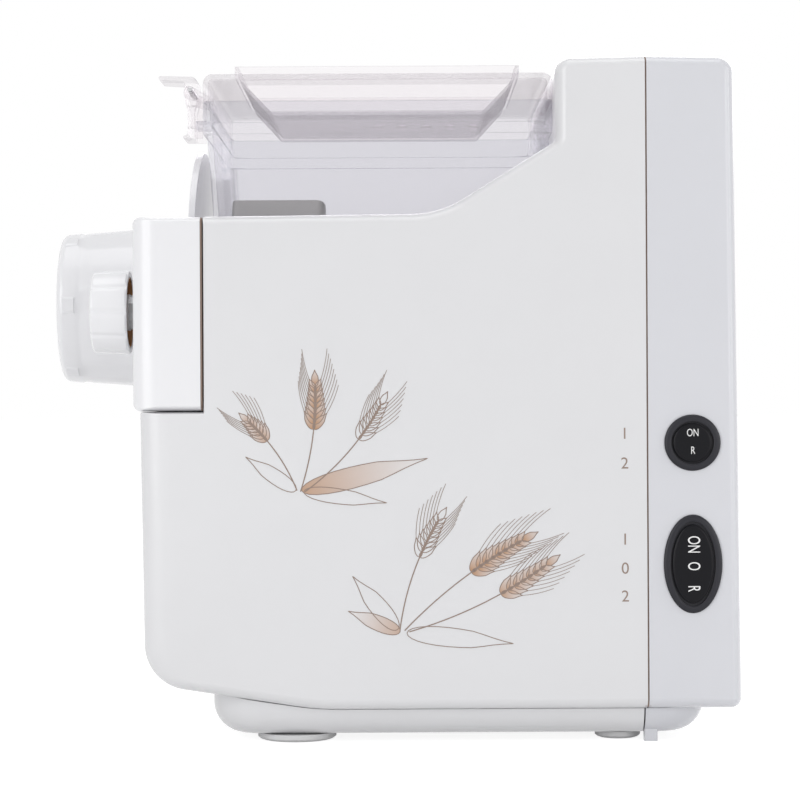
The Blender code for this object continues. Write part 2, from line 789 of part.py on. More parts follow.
def flare_front(bm):
    """The bowl's front wall leans out above the deck, from an edge cut across it there."""
    faces = bm.verts[:] + bm.edges[:] + bm.faces[:]
    bmesh.ops.bisect_plane(bm, geom=faces, dist=TINY_RADIUS, plane_co=(0, 0, DECK_HEIGHT), plane_no=(0, 0, 1))
    for vert in bm.verts:
        rise = (vert.co.z - DECK_HEIGHT) / (RIM_HEIGHT - DECK_HEIGHT)
        if rise > 0 and vert.co.x < 0:
            vert.co.x -= BOWL_FLARE * min(rise, 1)
    return bm


def bowl_corners():
    """The bowl's trough-shaped section, with a corner at the deck where its front wall starts to lean."""
    share = (DECK_HEIGHT - BOWL_BOTTOM) / (RIM_HEIGHT - BOWL_BOTTOM)
    deck_half = BOWL_RADIUS + (RIM_HALF_WIDTH - BOWL_RADIUS) * share
    return [
        (-BOWL_RADIUS, BOWL_BOTTOM, BOWL_RADIUS, BOWL_EDGE_FILLET),
        (BOWL_RADIUS, BOWL_BOTTOM, BOWL_RADIUS, BOWL_EDGE_FILLET),
        (deck_half, DECK_HEIGHT, 0, BOWL_EDGE_FILLET),
        (RIM_HALF_WIDTH, RIM_HEIGHT, 0, None),
        (-RIM_HALF_WIDTH, RIM_HEIGHT, 0, BOWL_EDGE_FILLET),
        (-deck_half, DECK_HEIGHT, 0, BOWL_EDGE_FILLET),
    ]


def build_bowl():
    corners = bowl_corners()
    body = prism(corners, "X", BOWL_FRONT_X, BOWL_REAR_X, BOWL_EDGE_FILLET, BOWL_EDGE_FILLET)
    bowl = add_part("mixing_bowl", flare_front(body), clear_plastic)
    flange_front = LID_FRONT_X
    flange_half = RIM_HALF_WIDTH + RIM_FLANGE
    flange = [
        (flange_front, -flange_half, RIM_CORNER, 0),
        (COLUMN_X - FIT_GAP, -flange_half, RIM_CORNER, 0),
        (COLUMN_X - FIT_GAP, flange_half, RIM_CORNER, 0),
        (flange_front, flange_half, RIM_CORNER, 0),
    ]
    join(bowl, prism(flange, "Z", RIM_HEIGHT - RIM_BAND, RIM_HEIGHT))
    join(
        bowl,
        block(
            (CATCH_X, -CATCH_HALF_WIDTH, RIM_HEIGHT - CATCH_THICKNESS),
            (flange_front + BOWL_WALL, CATCH_HALF_WIDTH, RIM_HEIGHT - TINY_RADIUS),
        ),
    )
    cut(
        bowl,
        flare_front(
            prism(corners, "X", BOWL_FRONT_X, BOWL_REAR_X, BOWL_EDGE_FILLET, BOWL_EDGE_FILLET, BOWL_WALL)
        ),
    )
    ledge_points = outline_points(flange, [BOWL_WALL + RIM_FLANGE - RIM_LEDGE_WIDTH] * len(flange))
    ledge_ends = (RIM_HEIGHT - RIM_LEDGE_DROP, RIM_HEIGHT + CUT_OVERRUN)
    cut(bowl, loft([[(p.x, p.y, height) for p in ledge_points] for height in ledge_ends]))
    cut(
        bowl,
        merged(
            [
                cylinder(
                    "X",
                    (0, AXIS_HEIGHT),
                    BARREL_BORE_RADIUS,
                    BOWL_FRONT_X - CUT_OVERRUN,
                    BOWL_FRONT_X + CUT_OVERRUN,
                    MEDIUM_SIDES,
                ),
                cylinder(
                    "X",
                    (0, AXIS_HEIGHT),
                    SEAL_RADIUS + FIT_GAP,
                    BOWL_REAR_X - CUT_OVERRUN,
                    BOWL_REAR_X + CUT_OVERRUN,
                    SMALL_SIDES,
                ),
            ]
        ),
    )
    seal_x = BOWL_REAR_X + FIT_GAP
    add_part(
        "shaft_seal",
        tube("X", (0, AXIS_HEIGHT), SEAL_RADIUS, SHAFT_RADIUS + FIT_GAP, seal_x - SEAL_LENGTH, seal_x, SMALL_SIDES),
        rubber,
    )
    build_well(corners)
    floor = UNDERSIDE_HEIGHT + CASE_WALL + FIT_GAP
    cradle_x = FRONT_X + NOSE_RISE_LENGTH + CRADLE_SETBACK
    cradle_corners = [
        (-CRADLE_HALF_WIDTH, floor, 0, 0),
        (CRADLE_HALF_WIDTH, floor, 0, 0),
        (CRADLE_HALF_WIDTH, CRADLE_HEIGHT, 0, 0),
        (-CRADLE_HALF_WIDTH, CRADLE_HEIGHT, 0, 0),
    ]
    cradle = add_part(
        "bowl_cradle", prism(cradle_corners, "X", cradle_x - CRADLE_THICKNESS, cradle_x), gloss_off_white
    )
    seat = WELL_GAP + WELL_WALL + FIT_GAP
    cut(cradle, grown_prism(corners, "X", cradle_x - CUT_OVERRUN, cradle_x + CUT_OVERRUN, seat))
    cut(
        cradle,
        cylinder(
            "X",
            (0, MOTOR_HEIGHT),
            MOTOR_RADIUS + FIT_GAP,
            cradle_x - CUT_OVERRUN,
            cradle_x + CUT_OVERRUN,
            LARGE_SIDES,
        ),
    )


def build_well(corners):
    """The casing's liner below the bowl, a trough that hides the motor and stands clear of the bowl all round."""
    front = NOSE_X + CASE_WALL + FIT_GAP
    rear = BULKHEAD_X - FIT_GAP
    well = add_part("bowl_well", grown_prism(corners, "X", front, rear, WELL_GAP + WELL_WALL), gloss_off_white)
    cut(well, grown_prism(corners, "X", front - CUT_OVERRUN, rear + CUT_OVERRUN, WELL_GAP))
    edge = DECK_HEIGHT - DECK_FALL - CASE_WALL - FIT_GAP
    half = RIM_HALF_WIDTH + CUT_OVERRUN
    cut(well, block((front - CUT_OVERRUN, -half, edge), (rear + CUT_OVERRUN, half, RIM_HEIGHT + CUT_OVERRUN)))


def build_lid():
    half = RIM_HALF_WIDTH + RIM_FLANGE - TINY_RADIUS
    rear = COLUMN_X - FIT_GAP
    corners = [
        (LID_FRONT_X, LID_BOTTOM, 0, None),
        (rear, LID_BOTTOM, 0, LID_RADIUS),
        (rear, LID_TOP, LID_RADIUS, LID_RADIUS),
        (LID_FRONT_X, LID_TOP, LID_RADIUS, LID_RADIUS),
    ]
    lid = add_part("lid", prism(corners, "Y", -half, half, LID_RADIUS, LID_RADIUS, steps=2), clear_plastic)
    cut(lid, prism(corners, "Y", -half, half, LID_RADIUS, LID_RADIUS, LID_WALL, INNER_FILLET_STEPS))
    floor = LID_BOTTOM - TROUGH_FLOOR_DROP
    trough = [
        (LID_FRONT_X + TROUGH_FRONT_INSET + TROUGH_END_SLANT, floor, 0, 0),
        (rear - TROUGH_REAR_INSET - TROUGH_END_SLANT, floor, 0, 0),
        (rear - TROUGH_REAR_INSET, LID_TOP + TROUGH_RIM, 0, None),
        (LID_FRONT_X + TROUGH_FRONT_INSET, LID_TOP + TROUGH_RIM, 0, 0),
    ]
    join(lid, prism(trough, "Y", -TROUGH_HALF_WIDTH, TROUGH_HALF_WIDTH))
    for side in (-1, 1):
        ear_middle = side * (LATCH_HALF_WIDTH + FIT_GAP + EAR_THICKNESS / 2)
        ear = [
            (PIN_X - LATCH_KNUCKLE_RADIUS, PIN_HEIGHT - EAR_HEIGHT / 2, LATCH_KNUCKLE_RADIUS, 0),
            (LID_FRONT_X + LID_WALL / 2, PIN_HEIGHT - EAR_HEIGHT, 0, 0),
            (LID_FRONT_X + LID_WALL / 2, LID_TOP - LID_RADIUS, 0, 0),
            (PIN_X - LATCH_KNUCKLE_RADIUS, PIN_HEIGHT + EAR_HEIGHT / 2, LATCH_KNUCKLE_RADIUS, 0),
        ]
        join(lid, prism(ear, "Y", ear_middle - EAR_THICKNESS / 2, ear_middle + EAR_THICKNESS / 2))
    cut(lid, prism(trough, "Y", -TROUGH_HALF_WIDTH, TROUGH_HALF_WIDTH, wall=LID_WALL))
    first_hole_x = (trough[0][0] + trough[1][0]) / 2
    holes = []
    for index in range(TROUGH_HOLE_COUNT):
        x = first_hole_x + index * TROUGH_HOLE_PITCH
        holes.append(
            cylinder("Z", (x, 0), TROUGH_HOLE_RADIUS, floor - CUT_OVERRUN, floor + LID_WALL * 2, HOLE_SIDES)
        )
    cut(lid, merged(holes))
    pin_reach = LATCH_HALF_WIDTH + FIT_GAP + EAR_THICKNESS
    cut(
        lid,
        cylinder(
            "Y", (PIN_X, PIN_HEIGHT), PIN_RADIUS + FIT_GAP, -pin_reach - CUT_OVERRUN, pin_reach + CUT_OVERRUN, HOLE_SIDES
        ),
    )
    add_part(
        "latch_pin", cylinder("Y", (PIN_X, PIN_HEIGHT), PIN_RADIUS, -pin_reach, pin_reach, HOLE_SIDES), steel
    )


def build_latch():
    back = PIN_X + LATCH_THICKNESS / 2
    front = PIN_X - LATCH_THICKNESS / 2
    low = PIN_HEIGHT - LATCH_DROP
    tab_top = PIN_HEIGHT + LATCH_TAB_RISE
    tab_low = tab_top - LATCH_TAB_THICKNESS
    outline = [
        (front - LATCH_LIP, low, 0, 0),
        (back, low, 0, 0),
        (back, PIN_HEIGHT - LATCH_NECK_HEIGHT, 0, 0),
        (PIN_X + LATCH_KNUCKLE_RADIUS, PIN_HEIGHT - LATCH_KNUCKLE_RADIUS, 0, 0),
        (PIN_X + LATCH_KNUCKLE_RADIUS, tab_top, LATCH_KNUCKLE_RADIUS, 0),
        (PIN_X - LATCH_TAB_LENGTH, tab_top, LATCH_TAB_THICKNESS / 3, 0),
        (PIN_X - LATCH_TAB_LENGTH, tab_low, LATCH_TAB_THICKNESS / 3, 0),
        (PIN_X - LATCH_KNUCKLE_RADIUS, tab_low, LATCH_LIP / 2, 0),
        (PIN_X - LATCH_KNUCKLE_RADIUS, PIN_HEIGHT - LATCH_KNUCKLE_RADIUS, 0, 0),
        (front, PIN_HEIGHT - LATCH_NECK_HEIGHT, 0, 0),
        (front, low + LATCH_LIP, 0, 0),
        (front - LATCH_LIP, low + LATCH_LIP / 2, 0, 0),
    ]
    latch = add_part(
        "lid_latch",
        prism(outline, "Y", -LATCH_HALF_WIDTH, LATCH_HALF_WIDTH),
        clear_plastic,
        (PIN_X, 0, PIN_HEIGHT),
    )
    for side in (-1, 1):
        inner = side * (LATCH_HALF_WIDTH - LATCH_WEB_THICKNESS)
        outer = side * LATCH_HALF_WIDTH
        web_top = PIN_HEIGHT - LATCH_KNUCKLE_RADIUS
        join(
            latch,
            block((PIN_X, min(inner, outer), low), (back + LATCH_WEB_REACH, max(inner, outer), web_top)),
        )
    cut(
        latch,
        cylinder(
            "Y",
            (PIN_X, PIN_HEIGHT),
            PIN_RADIUS + FIT_GAP,
            -LATCH_HALF_WIDTH - CUT_OVERRUN,
            LATCH_HALF_WIDTH + CUT_OVERRUN,
            HOLE_SIDES,
        ),
    )
    window_top = PIN_HEIGHT - LATCH_KNUCKLE_RADIUS * 2
    cut(
        latch,
        block(
            (front - CUT_OVERRUN, -LATCH_WINDOW_HALF_WIDTH, window_top - LATCH_WINDOW_HEIGHT),
            (back + CUT_OVERRUN, LATCH_WINDOW_HALF_WIDTH, window_top),
        ),
    )


def build_extruder():
    center = (0, AXIS_HEIGHT)
    flange_rear = NOSE_X - FIT_GAP
    flange_front = flange_rear - BARREL_FLANGE_THICKNESS
    barrel_rear = BOWL_FRONT_X - FIT_GAP
    barrel = [
        (BARREL_FRONT_X, BARREL_RADIUS),
        (flange_front, BARREL_RADIUS),
        (flange_front, BARREL_FLANGE_RADIUS),
        (flange_rear, BARREL_FLANGE_RADIUS),
        (flange_rear, BARREL_RADIUS),
        (barrel_rear, BARREL_RADIUS),
        (barrel_rear, BARREL_BORE_RADIUS),
        (BARREL_FRONT_X, BARREL_BORE_RADIUS),
    ]
    add_part("extrusion_barrel", turned("X", center, barrel, LARGE_SIDES, closed=True), aluminium)
    axis_point = (NUT_REAR_X, 0, AXIS_HEIGHT)
    die = add_part(
        "noodle_die",
        cylinder("X", center, BARREL_RADIUS, DIE_FRONT_X, DIE_FRONT_X + DIE_THICKNESS, LARGE_SIDES),
        brass,
        axis_point,
    )
    rings = [(1, 0), (DIE_INNER_RING_COUNT, DIE_INNER_RING_RADIUS), (DIE_OUTER_RING_COUNT, DIE_OUTER_RING_RADIUS)]
    holes = []
    for count, ring_radius in rings:
        for index in range(count):
            turn = 2 * math.pi * index / count
            place = (ring_radius * math.cos(turn), AXIS_HEIGHT + ring_radius * math.sin(turn))
            holes.append(
                cylinder(
                    "X",
                    place,
                    DIE_HOLE_RADIUS,
                    DIE_FRONT_X - DIE_THICKNESS,
                    DIE_FRONT_X + DIE_THICKNESS * 2,
                    HOLE_SIDES,
                )
            )
    cut(die, merged(holes))
    nut_bore = BARREL_RADIUS + FIT_GAP
    cap_x = NUT_FRONT_X + NUT_CAP_LENGTH
    plain = [
        (NUT_REAR_X, nut_bore),
        (NUT_FRONT_X + NUT_LIP_THICKNESS, nut_bore),
        (NUT_FRONT_X + NUT_LIP_THICKNESS, NUT_MOUTH_RADIUS),
        (NUT_FRONT_X, NUT_MOUTH_RADIUS + NUT_DOME / 2),
    ]
    taper = (NUT_REAR_RADIUS - NUT_FRONT_RADIUS) / (NUT_LENGTH - NUT_DOME)
    cap_radius = NUT_FRONT_RADIUS + taper * (NUT_CAP_LENGTH - NUT_DOME)
    rounded = []
    for step in range(FILLET_STEPS + 1):
        turn = math.pi / 2 * step / FILLET_STEPS
        rounded.append(
            (NUT_FRONT_X + NUT_DOME * (1 - math.sin(turn)), NUT_FRONT_RADIUS - NUT_DOME * (1 - math.cos(turn)))
        )
    rings = [circle("X", center, radius, place, LARGE_SIDES) for place, radius in rounded[::-1]]
    rings.append(circle("X", center, cap_radius - NUT_GRIP_DEPTH, cap_x, LARGE_SIDES))
    grip = {"lobes": NUT_GRIP_COUNT, "depth": NUT_GRIP_DEPTH, "turn": math.pi / NUT_GRIP_COUNT}
    rings.append(circle("X", center, cap_radius, cap_x + NUT_GRIP_DEPTH, LARGE_SIDES, **grip))
    rings.append(circle("X", center, NUT_REAR_RADIUS, NUT_REAR_X - NUT_GRIP_DEPTH, LARGE_SIDES, **grip))
    rings.append(circle("X", center, NUT_REAR_RADIUS - NUT_GRIP_DEPTH, NUT_REAR_X, LARGE_SIDES))
    rings += [circle("X", center, radius, place, LARGE_SIDES) for place, radius in plain]
    nut = add_part("die_nut", loft(rings, closed=True), gloss_white, axis_point)
    rib_front = NUT_FRONT_X + NUT_DOME + NUT_GRIP_DEPTH
    ribs = []
    for index in range(NUT_GRIP_COUNT):
        rib = block(
            (rib_front, -NUT_RIB_WIDTH / 2, AXIS_HEIGHT + nut_bore + NUT_GRIP_DEPTH),
            (rib_front + NUT_RIB_LENGTH, NUT_RIB_WIDTH / 2, AXIS_HEIGHT + cap_radius + NUT_RIB_STAND),
        )
        turn = Matrix.Rotation(2 * math.pi * index / NUT_GRIP_COUNT + math.pi / 2, 3, "X")
        bmesh.ops.rotate(rib, verts=rib.verts, cent=(0, 0, AXIS_HEIGHT), matrix=turn)
        ribs.append(rib)
    join(nut, merged(ribs))


def screw_flight(start, turns):
    """The auger's flight as a helical strip of rectangular section, its root sunk in the core."""
    rings = []
    for step in range(turns * SCREW_STEPS + 1):
        turn = 2 * math.pi * step / SCREW_STEPS
        place = start + AUGER_PITCH * step / SCREW_STEPS
        ring = []
        for radius, along in (
            (AUGER_CORE_RADIUS - AUGER_FLIGHT_SINK, 0),
            (AUGER_FLIGHT_RADIUS, 0),
            (AUGER_FLIGHT_RADIUS, AUGER_FLIGHT_THICKNESS),
            (AUGER_CORE_RADIUS - AUGER_FLIGHT_SINK, AUGER_FLIGHT_THICKNESS),
        ):
            ring.append((place + along, radius * math.cos(turn), AXIS_HEIGHT + radius * math.sin(turn)))
        rings.append(ring)
    return loft(rings)


def build_auger():
    center = (0, AXIS_HEIGHT)
    tip_x = BARREL_FRONT_X + AUGER_TIP_GAP
    flight_end = tip_x + AUGER_PITCH * AUGER_TURNS + AUGER_FLIGHT_THICKNESS
    end_x = BOWL_REAR_X - BOWL_WALL - COUPLING_SETBACK
    core_end = flight_end + AUGER_FLIGHT_SINK * 2
    profile = [
        (tip_x - AUGER_FLIGHT_SINK, AUGER_CORE_RADIUS / 2),
        (tip_x + AUGER_FLIGHT_SINK, AUGER_CORE_RADIUS),
        (core_end, AUGER_CORE_RADIUS),
        (core_end + AUGER_FLIGHT_SINK, SHAFT_RADIUS),
        (end_x, SHAFT_RADIUS),
    ]
    auger = add_part("auger_screw", turned("X", center, profile, SCREW_STEPS), steel, (tip_x, 0, AXIS_HEIGHT))
    join(auger, screw_flight(tip_x + AUGER_FLIGHT_SINK, AUGER_TURNS))
    cut(
        auger,
        cylinder("X", center, SOCKET_RADIUS, end_x - SOCKET_DEPTH, end_x + CUT_OVERRUN, SCREW_STEPS, flats=6),
    )
    hub_front = core_end + AUGER_FLIGHT_SINK + FIT_GAP
    bore = SHAFT_RADIUS + FIT_GAP
    paddles = add_part(
        "mixing_paddles",
        cylinder("X", center, PADDLE_HUB_RADIUS, hub_front, hub_front + PADDLE_HUB_LENGTH, SCREW_STEPS),
        gloss_grey,
        (hub_front, 0, AXIS_HEIGHT),
    )
    join(paddles, paddle(hub_front, -1, PADDLE_ANGLE_DEG))
    join(paddles, paddle(hub_front + PADDLE_HUB_LENGTH, 1, PADDLE_ANGLE_DEG + 180))
    cut(paddles, cylinder("X", center, bore, hub_front - CUT_OVERRUN, hub_front + PADDLE_HUB_LENGTH + CUT_OVERRUN))


def paddle(edge, direction, angle_deg):
    """An arm out from the hub with a bar along the bowl's wall, turned about the shaft to its angle."""
    hub_inside = PADDLE_HUB_RADIUS - PADDLE_BAR_THICKNESS / 2
    bar_inner = PADDLE_SWEEP_RADIUS - PADDLE_BAR_THICKNESS
    arm_inner = edge - direction * PADDLE_ARM_WIDTH
    bar_end = edge + direction * (PADDLE_BAR_LENGTH - PADDLE_ARM_WIDTH)
    shape = [
        (arm_inner, hub_inside),
        (arm_inner, PADDLE_SWEEP_RADIUS),
        (bar_end, PADDLE_SWEEP_RADIUS),
        (bar_end, bar_inner),
        (edge, bar_inner),
        (edge, hub_inside),
    ]
    turn = math.radians(angle_deg)
    out = Vector((0, math.cos(turn), math.sin(turn)))
    across = Vector((0, -math.sin(turn), math.cos(turn)))
    rings = []
    for offset in (-PADDLE_ARM_WIDTH / 2, PADDLE_ARM_WIDTH / 2):
        ring = []
        for x, radius in shape:
            ring.append(Vector((x, 0, AXIS_HEIGHT)) + out * radius + across * offset)
        rings.append(ring)
    return loft(rings)


def build_hand_nuts():
    for name, side in (("left", -1), ("right", 1)):
        center = (side * STUD_SPACING / 2, STUD_HEIGHT)
        origin = (PANEL_X, center[0], center[1])
        collar_rear = PANEL_X - FIT_GAP
        collar_front = collar_rear - COLLAR_LENGTH
        nut_rear = collar_front - FIT_GAP
        nut_front = nut_rear - HAND_NUT_LENGTH
        bore = STUD_RADIUS + FIT_GAP
        stud_rear = NOSE_X - FIT_GAP
        stud = [
            (nut_front + HAND_NUT_TOP + FIT_GAP, STUD_RADIUS),
            (stud_rear - STUD_FLANGE_THICKNESS, STUD_RADIUS),
            (stud_rear - STUD_FLANGE_THICKNESS, STUD_FLANGE_RADIUS),
            (stud_rear, STUD_FLANGE_RADIUS),
        ]
        add_part("panel_stud_" + name, turned("X", center, stud, SMALL_SIDES), steel)
        add_part(
            "stud_collar_" + name,
            tube("X", center, COLLAR_RADIUS, bore, collar_front, collar_rear, SMALL_SIDES),
            brass,
            origin,
        )
        grip = {"lobes": HAND_NUT_GRIP_COUNT, "depth": HAND_NUT_GRIP_DEPTH}
        sides = HAND_NUT_GRIP_COUNT * 3
        inside = HAND_NUT_RADIUS - HAND_NUT_RIM
        recess = nut_rear - HAND_NUT_RECESS
        rings = [
            circle("X", center, HAND_NUT_RADIUS - HAND_NUT_TOP, nut_front, sides),
            circle("X", center, HAND_NUT_RADIUS - HAND_NUT_TOP / 3, nut_front + HAND_NUT_TOP / 3, sides),
            circle("X", center, HAND_NUT_RADIUS, nut_front + HAND_NUT_TOP, sides, **grip),
            circle("X", center, HAND_NUT_RADIUS, nut_rear - HAND_NUT_GRIP_DEPTH, sides, **grip),
            circle("X", center, HAND_NUT_RADIUS - HAND_NUT_GRIP_DEPTH, nut_rear, sides),
            circle("X", center, inside, nut_rear, sides),
            circle("X", center, inside, recess, sides),
            circle("X", center, HAND_NUT_HUB_RADIUS, recess, sides),
            circle("X", center, HAND_NUT_HUB_RADIUS, nut_rear, sides),
            circle("X", center, bore, nut_rear, sides),
            circle("X", center, bore, nut_front + HAND_NUT_TOP, sides),
        ]
        add_part("hand_nut_" + name, loft(rings), gloss_white, origin)


def gear(name, teeth, module, width, bore, place, height, first_tooth_deg, material):
    """A spur gear with plain trapezoid teeth, its first tooth at the given angle in the plane of Y and Z."""
    pitch_angle = 2 * math.pi / teeth
    pitch_radius = module * teeth / 2
    root = pitch_radius - module * DEDENDUM_SHARE
    tip = pitch_radius + module * ADDENDUM_SHARE
    points = []
    for index in range(teeth):
        middle = math.radians(first_tooth_deg) + index * pitch_angle
        for radius, share in (
            (root, -ROOT_WIDTH_SHARE),
            (tip, -TIP_WIDTH_SHARE),
            (tip, TIP_WIDTH_SHARE),
            (root, ROOT_WIDTH_SHARE),
        ):
            angle = middle + pitch_angle * share / 2
            points.append((radius * math.cos(angle), height + radius * math.sin(angle)))
    rings = [[(x, y, z) for y, z in points] for x in (place, place + width)]
    wheel = add_part(name, loft(rings), material, (place, 0, height))
    cut(
        wheel,
        cylinder("X", (0, height), bore, place - CUT_OVERRUN, place + width + CUT_OVERRUN, SMALL_SIDES),
    )


def build_gear_train():
    down = -90.0
    up = 90.0
    gear(
        "output_gear",
        FINAL_GEAR_TEETH,
        FINAL_MODULE,
        FINAL_FACE_WIDTH,
        SHAFT_RADIUS + FIT_GAP,
        FINAL_GEAR_X,
        AXIS_HEIGHT,
        down,
        nylon,
    )
    gear(
        "layshaft_pinion",
        FINAL_PINION_TEETH,
        FINAL_MODULE,
        FINAL_FACE_WIDTH,
        LAYSHAFT_RADIUS + FIT_GAP,
        FINAL_GEAR_X,
        LAYSHAFT_HEIGHT,
        up + 180.0 / FINAL_PINION_TEETH,
        steel,
    )
    gear(
        "layshaft_gear",
        FIRST_GEAR_TEETH,
        FIRST_MODULE,
        FIRST_FACE_WIDTH,
        LAYSHAFT_RADIUS + FIT_GAP,
        FIRST_GEAR_X,
        LAYSHAFT_HEIGHT,
        down,
        nylon,
    )
    gear(
        "motor_pinion",
        FIRST_PINION_TEETH,
        FIRST_MODULE,
        FIRST_FACE_WIDTH,
        MOTOR_SHAFT_RADIUS + FIT_GAP,
        FIRST_GEAR_X,
        MOTOR_HEIGHT,
        up + 180.0 / FIRST_PINION_TEETH,
        steel,
    )


def build_shafts():
    center = (0, AXIS_HEIGHT)
    auger_end = BOWL_REAR_X - BOWL_WALL - COUPLING_SETBACK
    plate_rear = GEARBOX_PLATE_X + GEARBOX_PLATE_THICKNESS
    rings = [
        circle("X", center, COUPLING_RADIUS, auger_end - SOCKET_DEPTH + FIT_GAP, SCREW_STEPS, flats=6),
        circle("X", center, COUPLING_RADIUS, auger_end + FIT_GAP, SCREW_STEPS, flats=6),
        circle("X", center, SHAFT_RADIUS, auger_end + FIT_GAP * 2, SCREW_STEPS),
        circle("X", center, SHAFT_RADIUS, plate_rear + FIT_GAP, SCREW_STEPS),
    ]
    add_part("output_shaft", loft(rings), steel, (auger_end, 0, AXIS_HEIGHT))
    lay = (0, LAYSHAFT_HEIGHT)
    add_part(
        "layshaft",
        cylinder("X", lay, LAYSHAFT_RADIUS, BULKHEAD_X, plate_rear, SMALL_SIDES),
        steel,
        (BULKHEAD_X, 0, LAYSHAFT_HEIGHT),
    )
    for name, place in (("front", BULKHEAD_X), ("rear", GEARBOX_PLATE_X)):
        wall = BULKHEAD_THICKNESS if name == "front" else GEARBOX_PLATE_THICKNESS
        low = place if name == "front" else place + wall - BUSH_LENGTH
        add_part(
            "layshaft_bush_" + name,
            tube("X", lay, BUSH_RADIUS, LAYSHAFT_RADIUS + FIT_GAP, low, low + BUSH_LENGTH, SMALL_SIDES),
            brass,
        )
        low = place if name == "front" else place + wall - BEARING_LENGTH
        add_part(
            "output_bearing_" + name,
            tube("X", center, BEARING_RADIUS, SHAFT_RADIUS + FIT_GAP, low, low + BEARING_LENGTH, SCREW_STEPS),
            steel,
        )


def bearing_holes(place):
    low = place - CUT_OVERRUN
    high = place + CUT_OVERRUN
    return [
        cylinder("X", (0, AXIS_HEIGHT), BEARING_RADIUS + FIT_GAP, low, high, SCREW_STEPS),
        cylinder("X", (0, LAYSHAFT_HEIGHT), BUSH_RADIUS + FIT_GAP, low, high, SMALL_SIDES),
    ]


def build_gearbox():
    half = CASE_HALF - CASE_WALL - FIT_GAP
    low = UNDERSIDE_HEIGHT + CASE_WALL + FIT_GAP
    high = SLOPE_TOP - CASE_WALL * 2
    corners = [
        (-half, low, BULKHEAD_CORNER, 0),
        (half, low, BULKHEAD_CORNER, 0),
        (half, high, BULKHEAD_CORNER, 0),
        (-half, high, BULKHEAD_CORNER, 0),
    ]
    bulkhead = add_part("bulkhead", prism(corners, "X", BULKHEAD_X, DRIVE_X), gloss_off_white)
    shaft_hole = cylinder(
        "X", (0, MOTOR_HEIGHT), MOTOR_SHAFT_RADIUS * 2, BULKHEAD_X - CUT_OVERRUN, BULKHEAD_X + CUT_OVERRUN, SMALL_SIDES
    )
    cut(bulkhead, merged(bearing_holes(BULKHEAD_X) + [shaft_hole]))
    lower_post = LAYSHAFT_HEIGHT - LOWER_POST_DROP
    plate_low = lower_post - GEARBOX_PLATE_MARGIN
    plate_high = AXIS_HEIGHT + BEARING_RADIUS + GEARBOX_PLATE_MARGIN
    plate_corners = [
        (-GEARBOX_PLATE_HALF_WIDTH, plate_low, GEARBOX_PLATE_CORNER, 0),
        (GEARBOX_PLATE_HALF_WIDTH, plate_low, GEARBOX_PLATE_CORNER, 0),
        (GEARBOX_PLATE_HALF_WIDTH, plate_high, GEARBOX_PLATE_CORNER, 0),
        (-GEARBOX_PLATE_HALF_WIDTH, plate_high, GEARBOX_PLATE_CORNER, 0),
    ]
    plate = add_part(
        "gearbox_plate",
        prism(plate_corners, "X", GEARBOX_PLATE_X, GEARBOX_PLATE_X + GEARBOX_PLATE_THICKNESS),
        zinc,
    )
    cut(plate, merged(bearing_holes(GEARBOX_PLATE_X)))
    posts = {
        "upper_left": (-UPPER_POST_SPACING / 2, AXIS_HEIGHT),
        "upper_right": (UPPER_POST_SPACING / 2, AXIS_HEIGHT),
        "lower_left": (-LOWER_POST_SPACING / 2, lower_post),
        "lower_right": (LOWER_POST_SPACING / 2, lower_post),
    }
    for name, place in posts.items():
        add_part(
            "gearbox_post_" + name,
            cylinder("X", place, POST_RADIUS, DRIVE_X + FIT_GAP, GEARBOX_PLATE_X - FIT_GAP, SMALL_SIDES),
            steel,
        )


def build_motor():
    center = (0, MOTOR_HEIGHT)
    rear = BULKHEAD_X - FIT_GAP
    front = rear - MOTOR_LENGTH
    bore = MOTOR_SHAFT_RADIUS + FIT_GAP
    profile = [
        (front, MOTOR_BELL_RADIUS),
        (front + MOTOR_BELL_LENGTH, MOTOR_RADIUS),
        (rear - MOTOR_BELL_LENGTH, MOTOR_RADIUS),
        (rear, MOTOR_BELL_RADIUS),
        (rear, bore),
        (front, bore),
    ]
    add_part("motor_can", turned("X", center, profile, MEDIUM_SIDES, closed=True), zinc)
    fan_rear = front - FAN_GAP
    fan_front = fan_rear - FAN_WIDTH
    add_part(
        "motor_shaft",
        cylinder(
            "X",
            center,
            MOTOR_SHAFT_RADIUS,
            fan_front,
            FIRST_GEAR_X + FIRST_FACE_WIDTH + FIT_GAP,
            SMALL_SIDES,
        ),
        steel,
        (fan_front, 0, MOTOR_HEIGHT),
    )
    grip = {"lobes": FAN_BLADES, "depth": FAN_RADIUS - FAN_HUB_RADIUS}
    sides = FAN_BLADES * 6
    rings = [
        circle("X", center, FAN_RADIUS, fan_front, sides, **grip),
        circle("X", center, FAN_RADIUS, fan_rear, sides, **grip),
        circle("X", center, bore, fan_rear, sides),
        circle("X", center, bore, fan_front, sides),
    ]
    add_part("motor_fan", loft(rings, closed=True), gloss_grey, (fan_front, 0, MOTOR_HEIGHT))


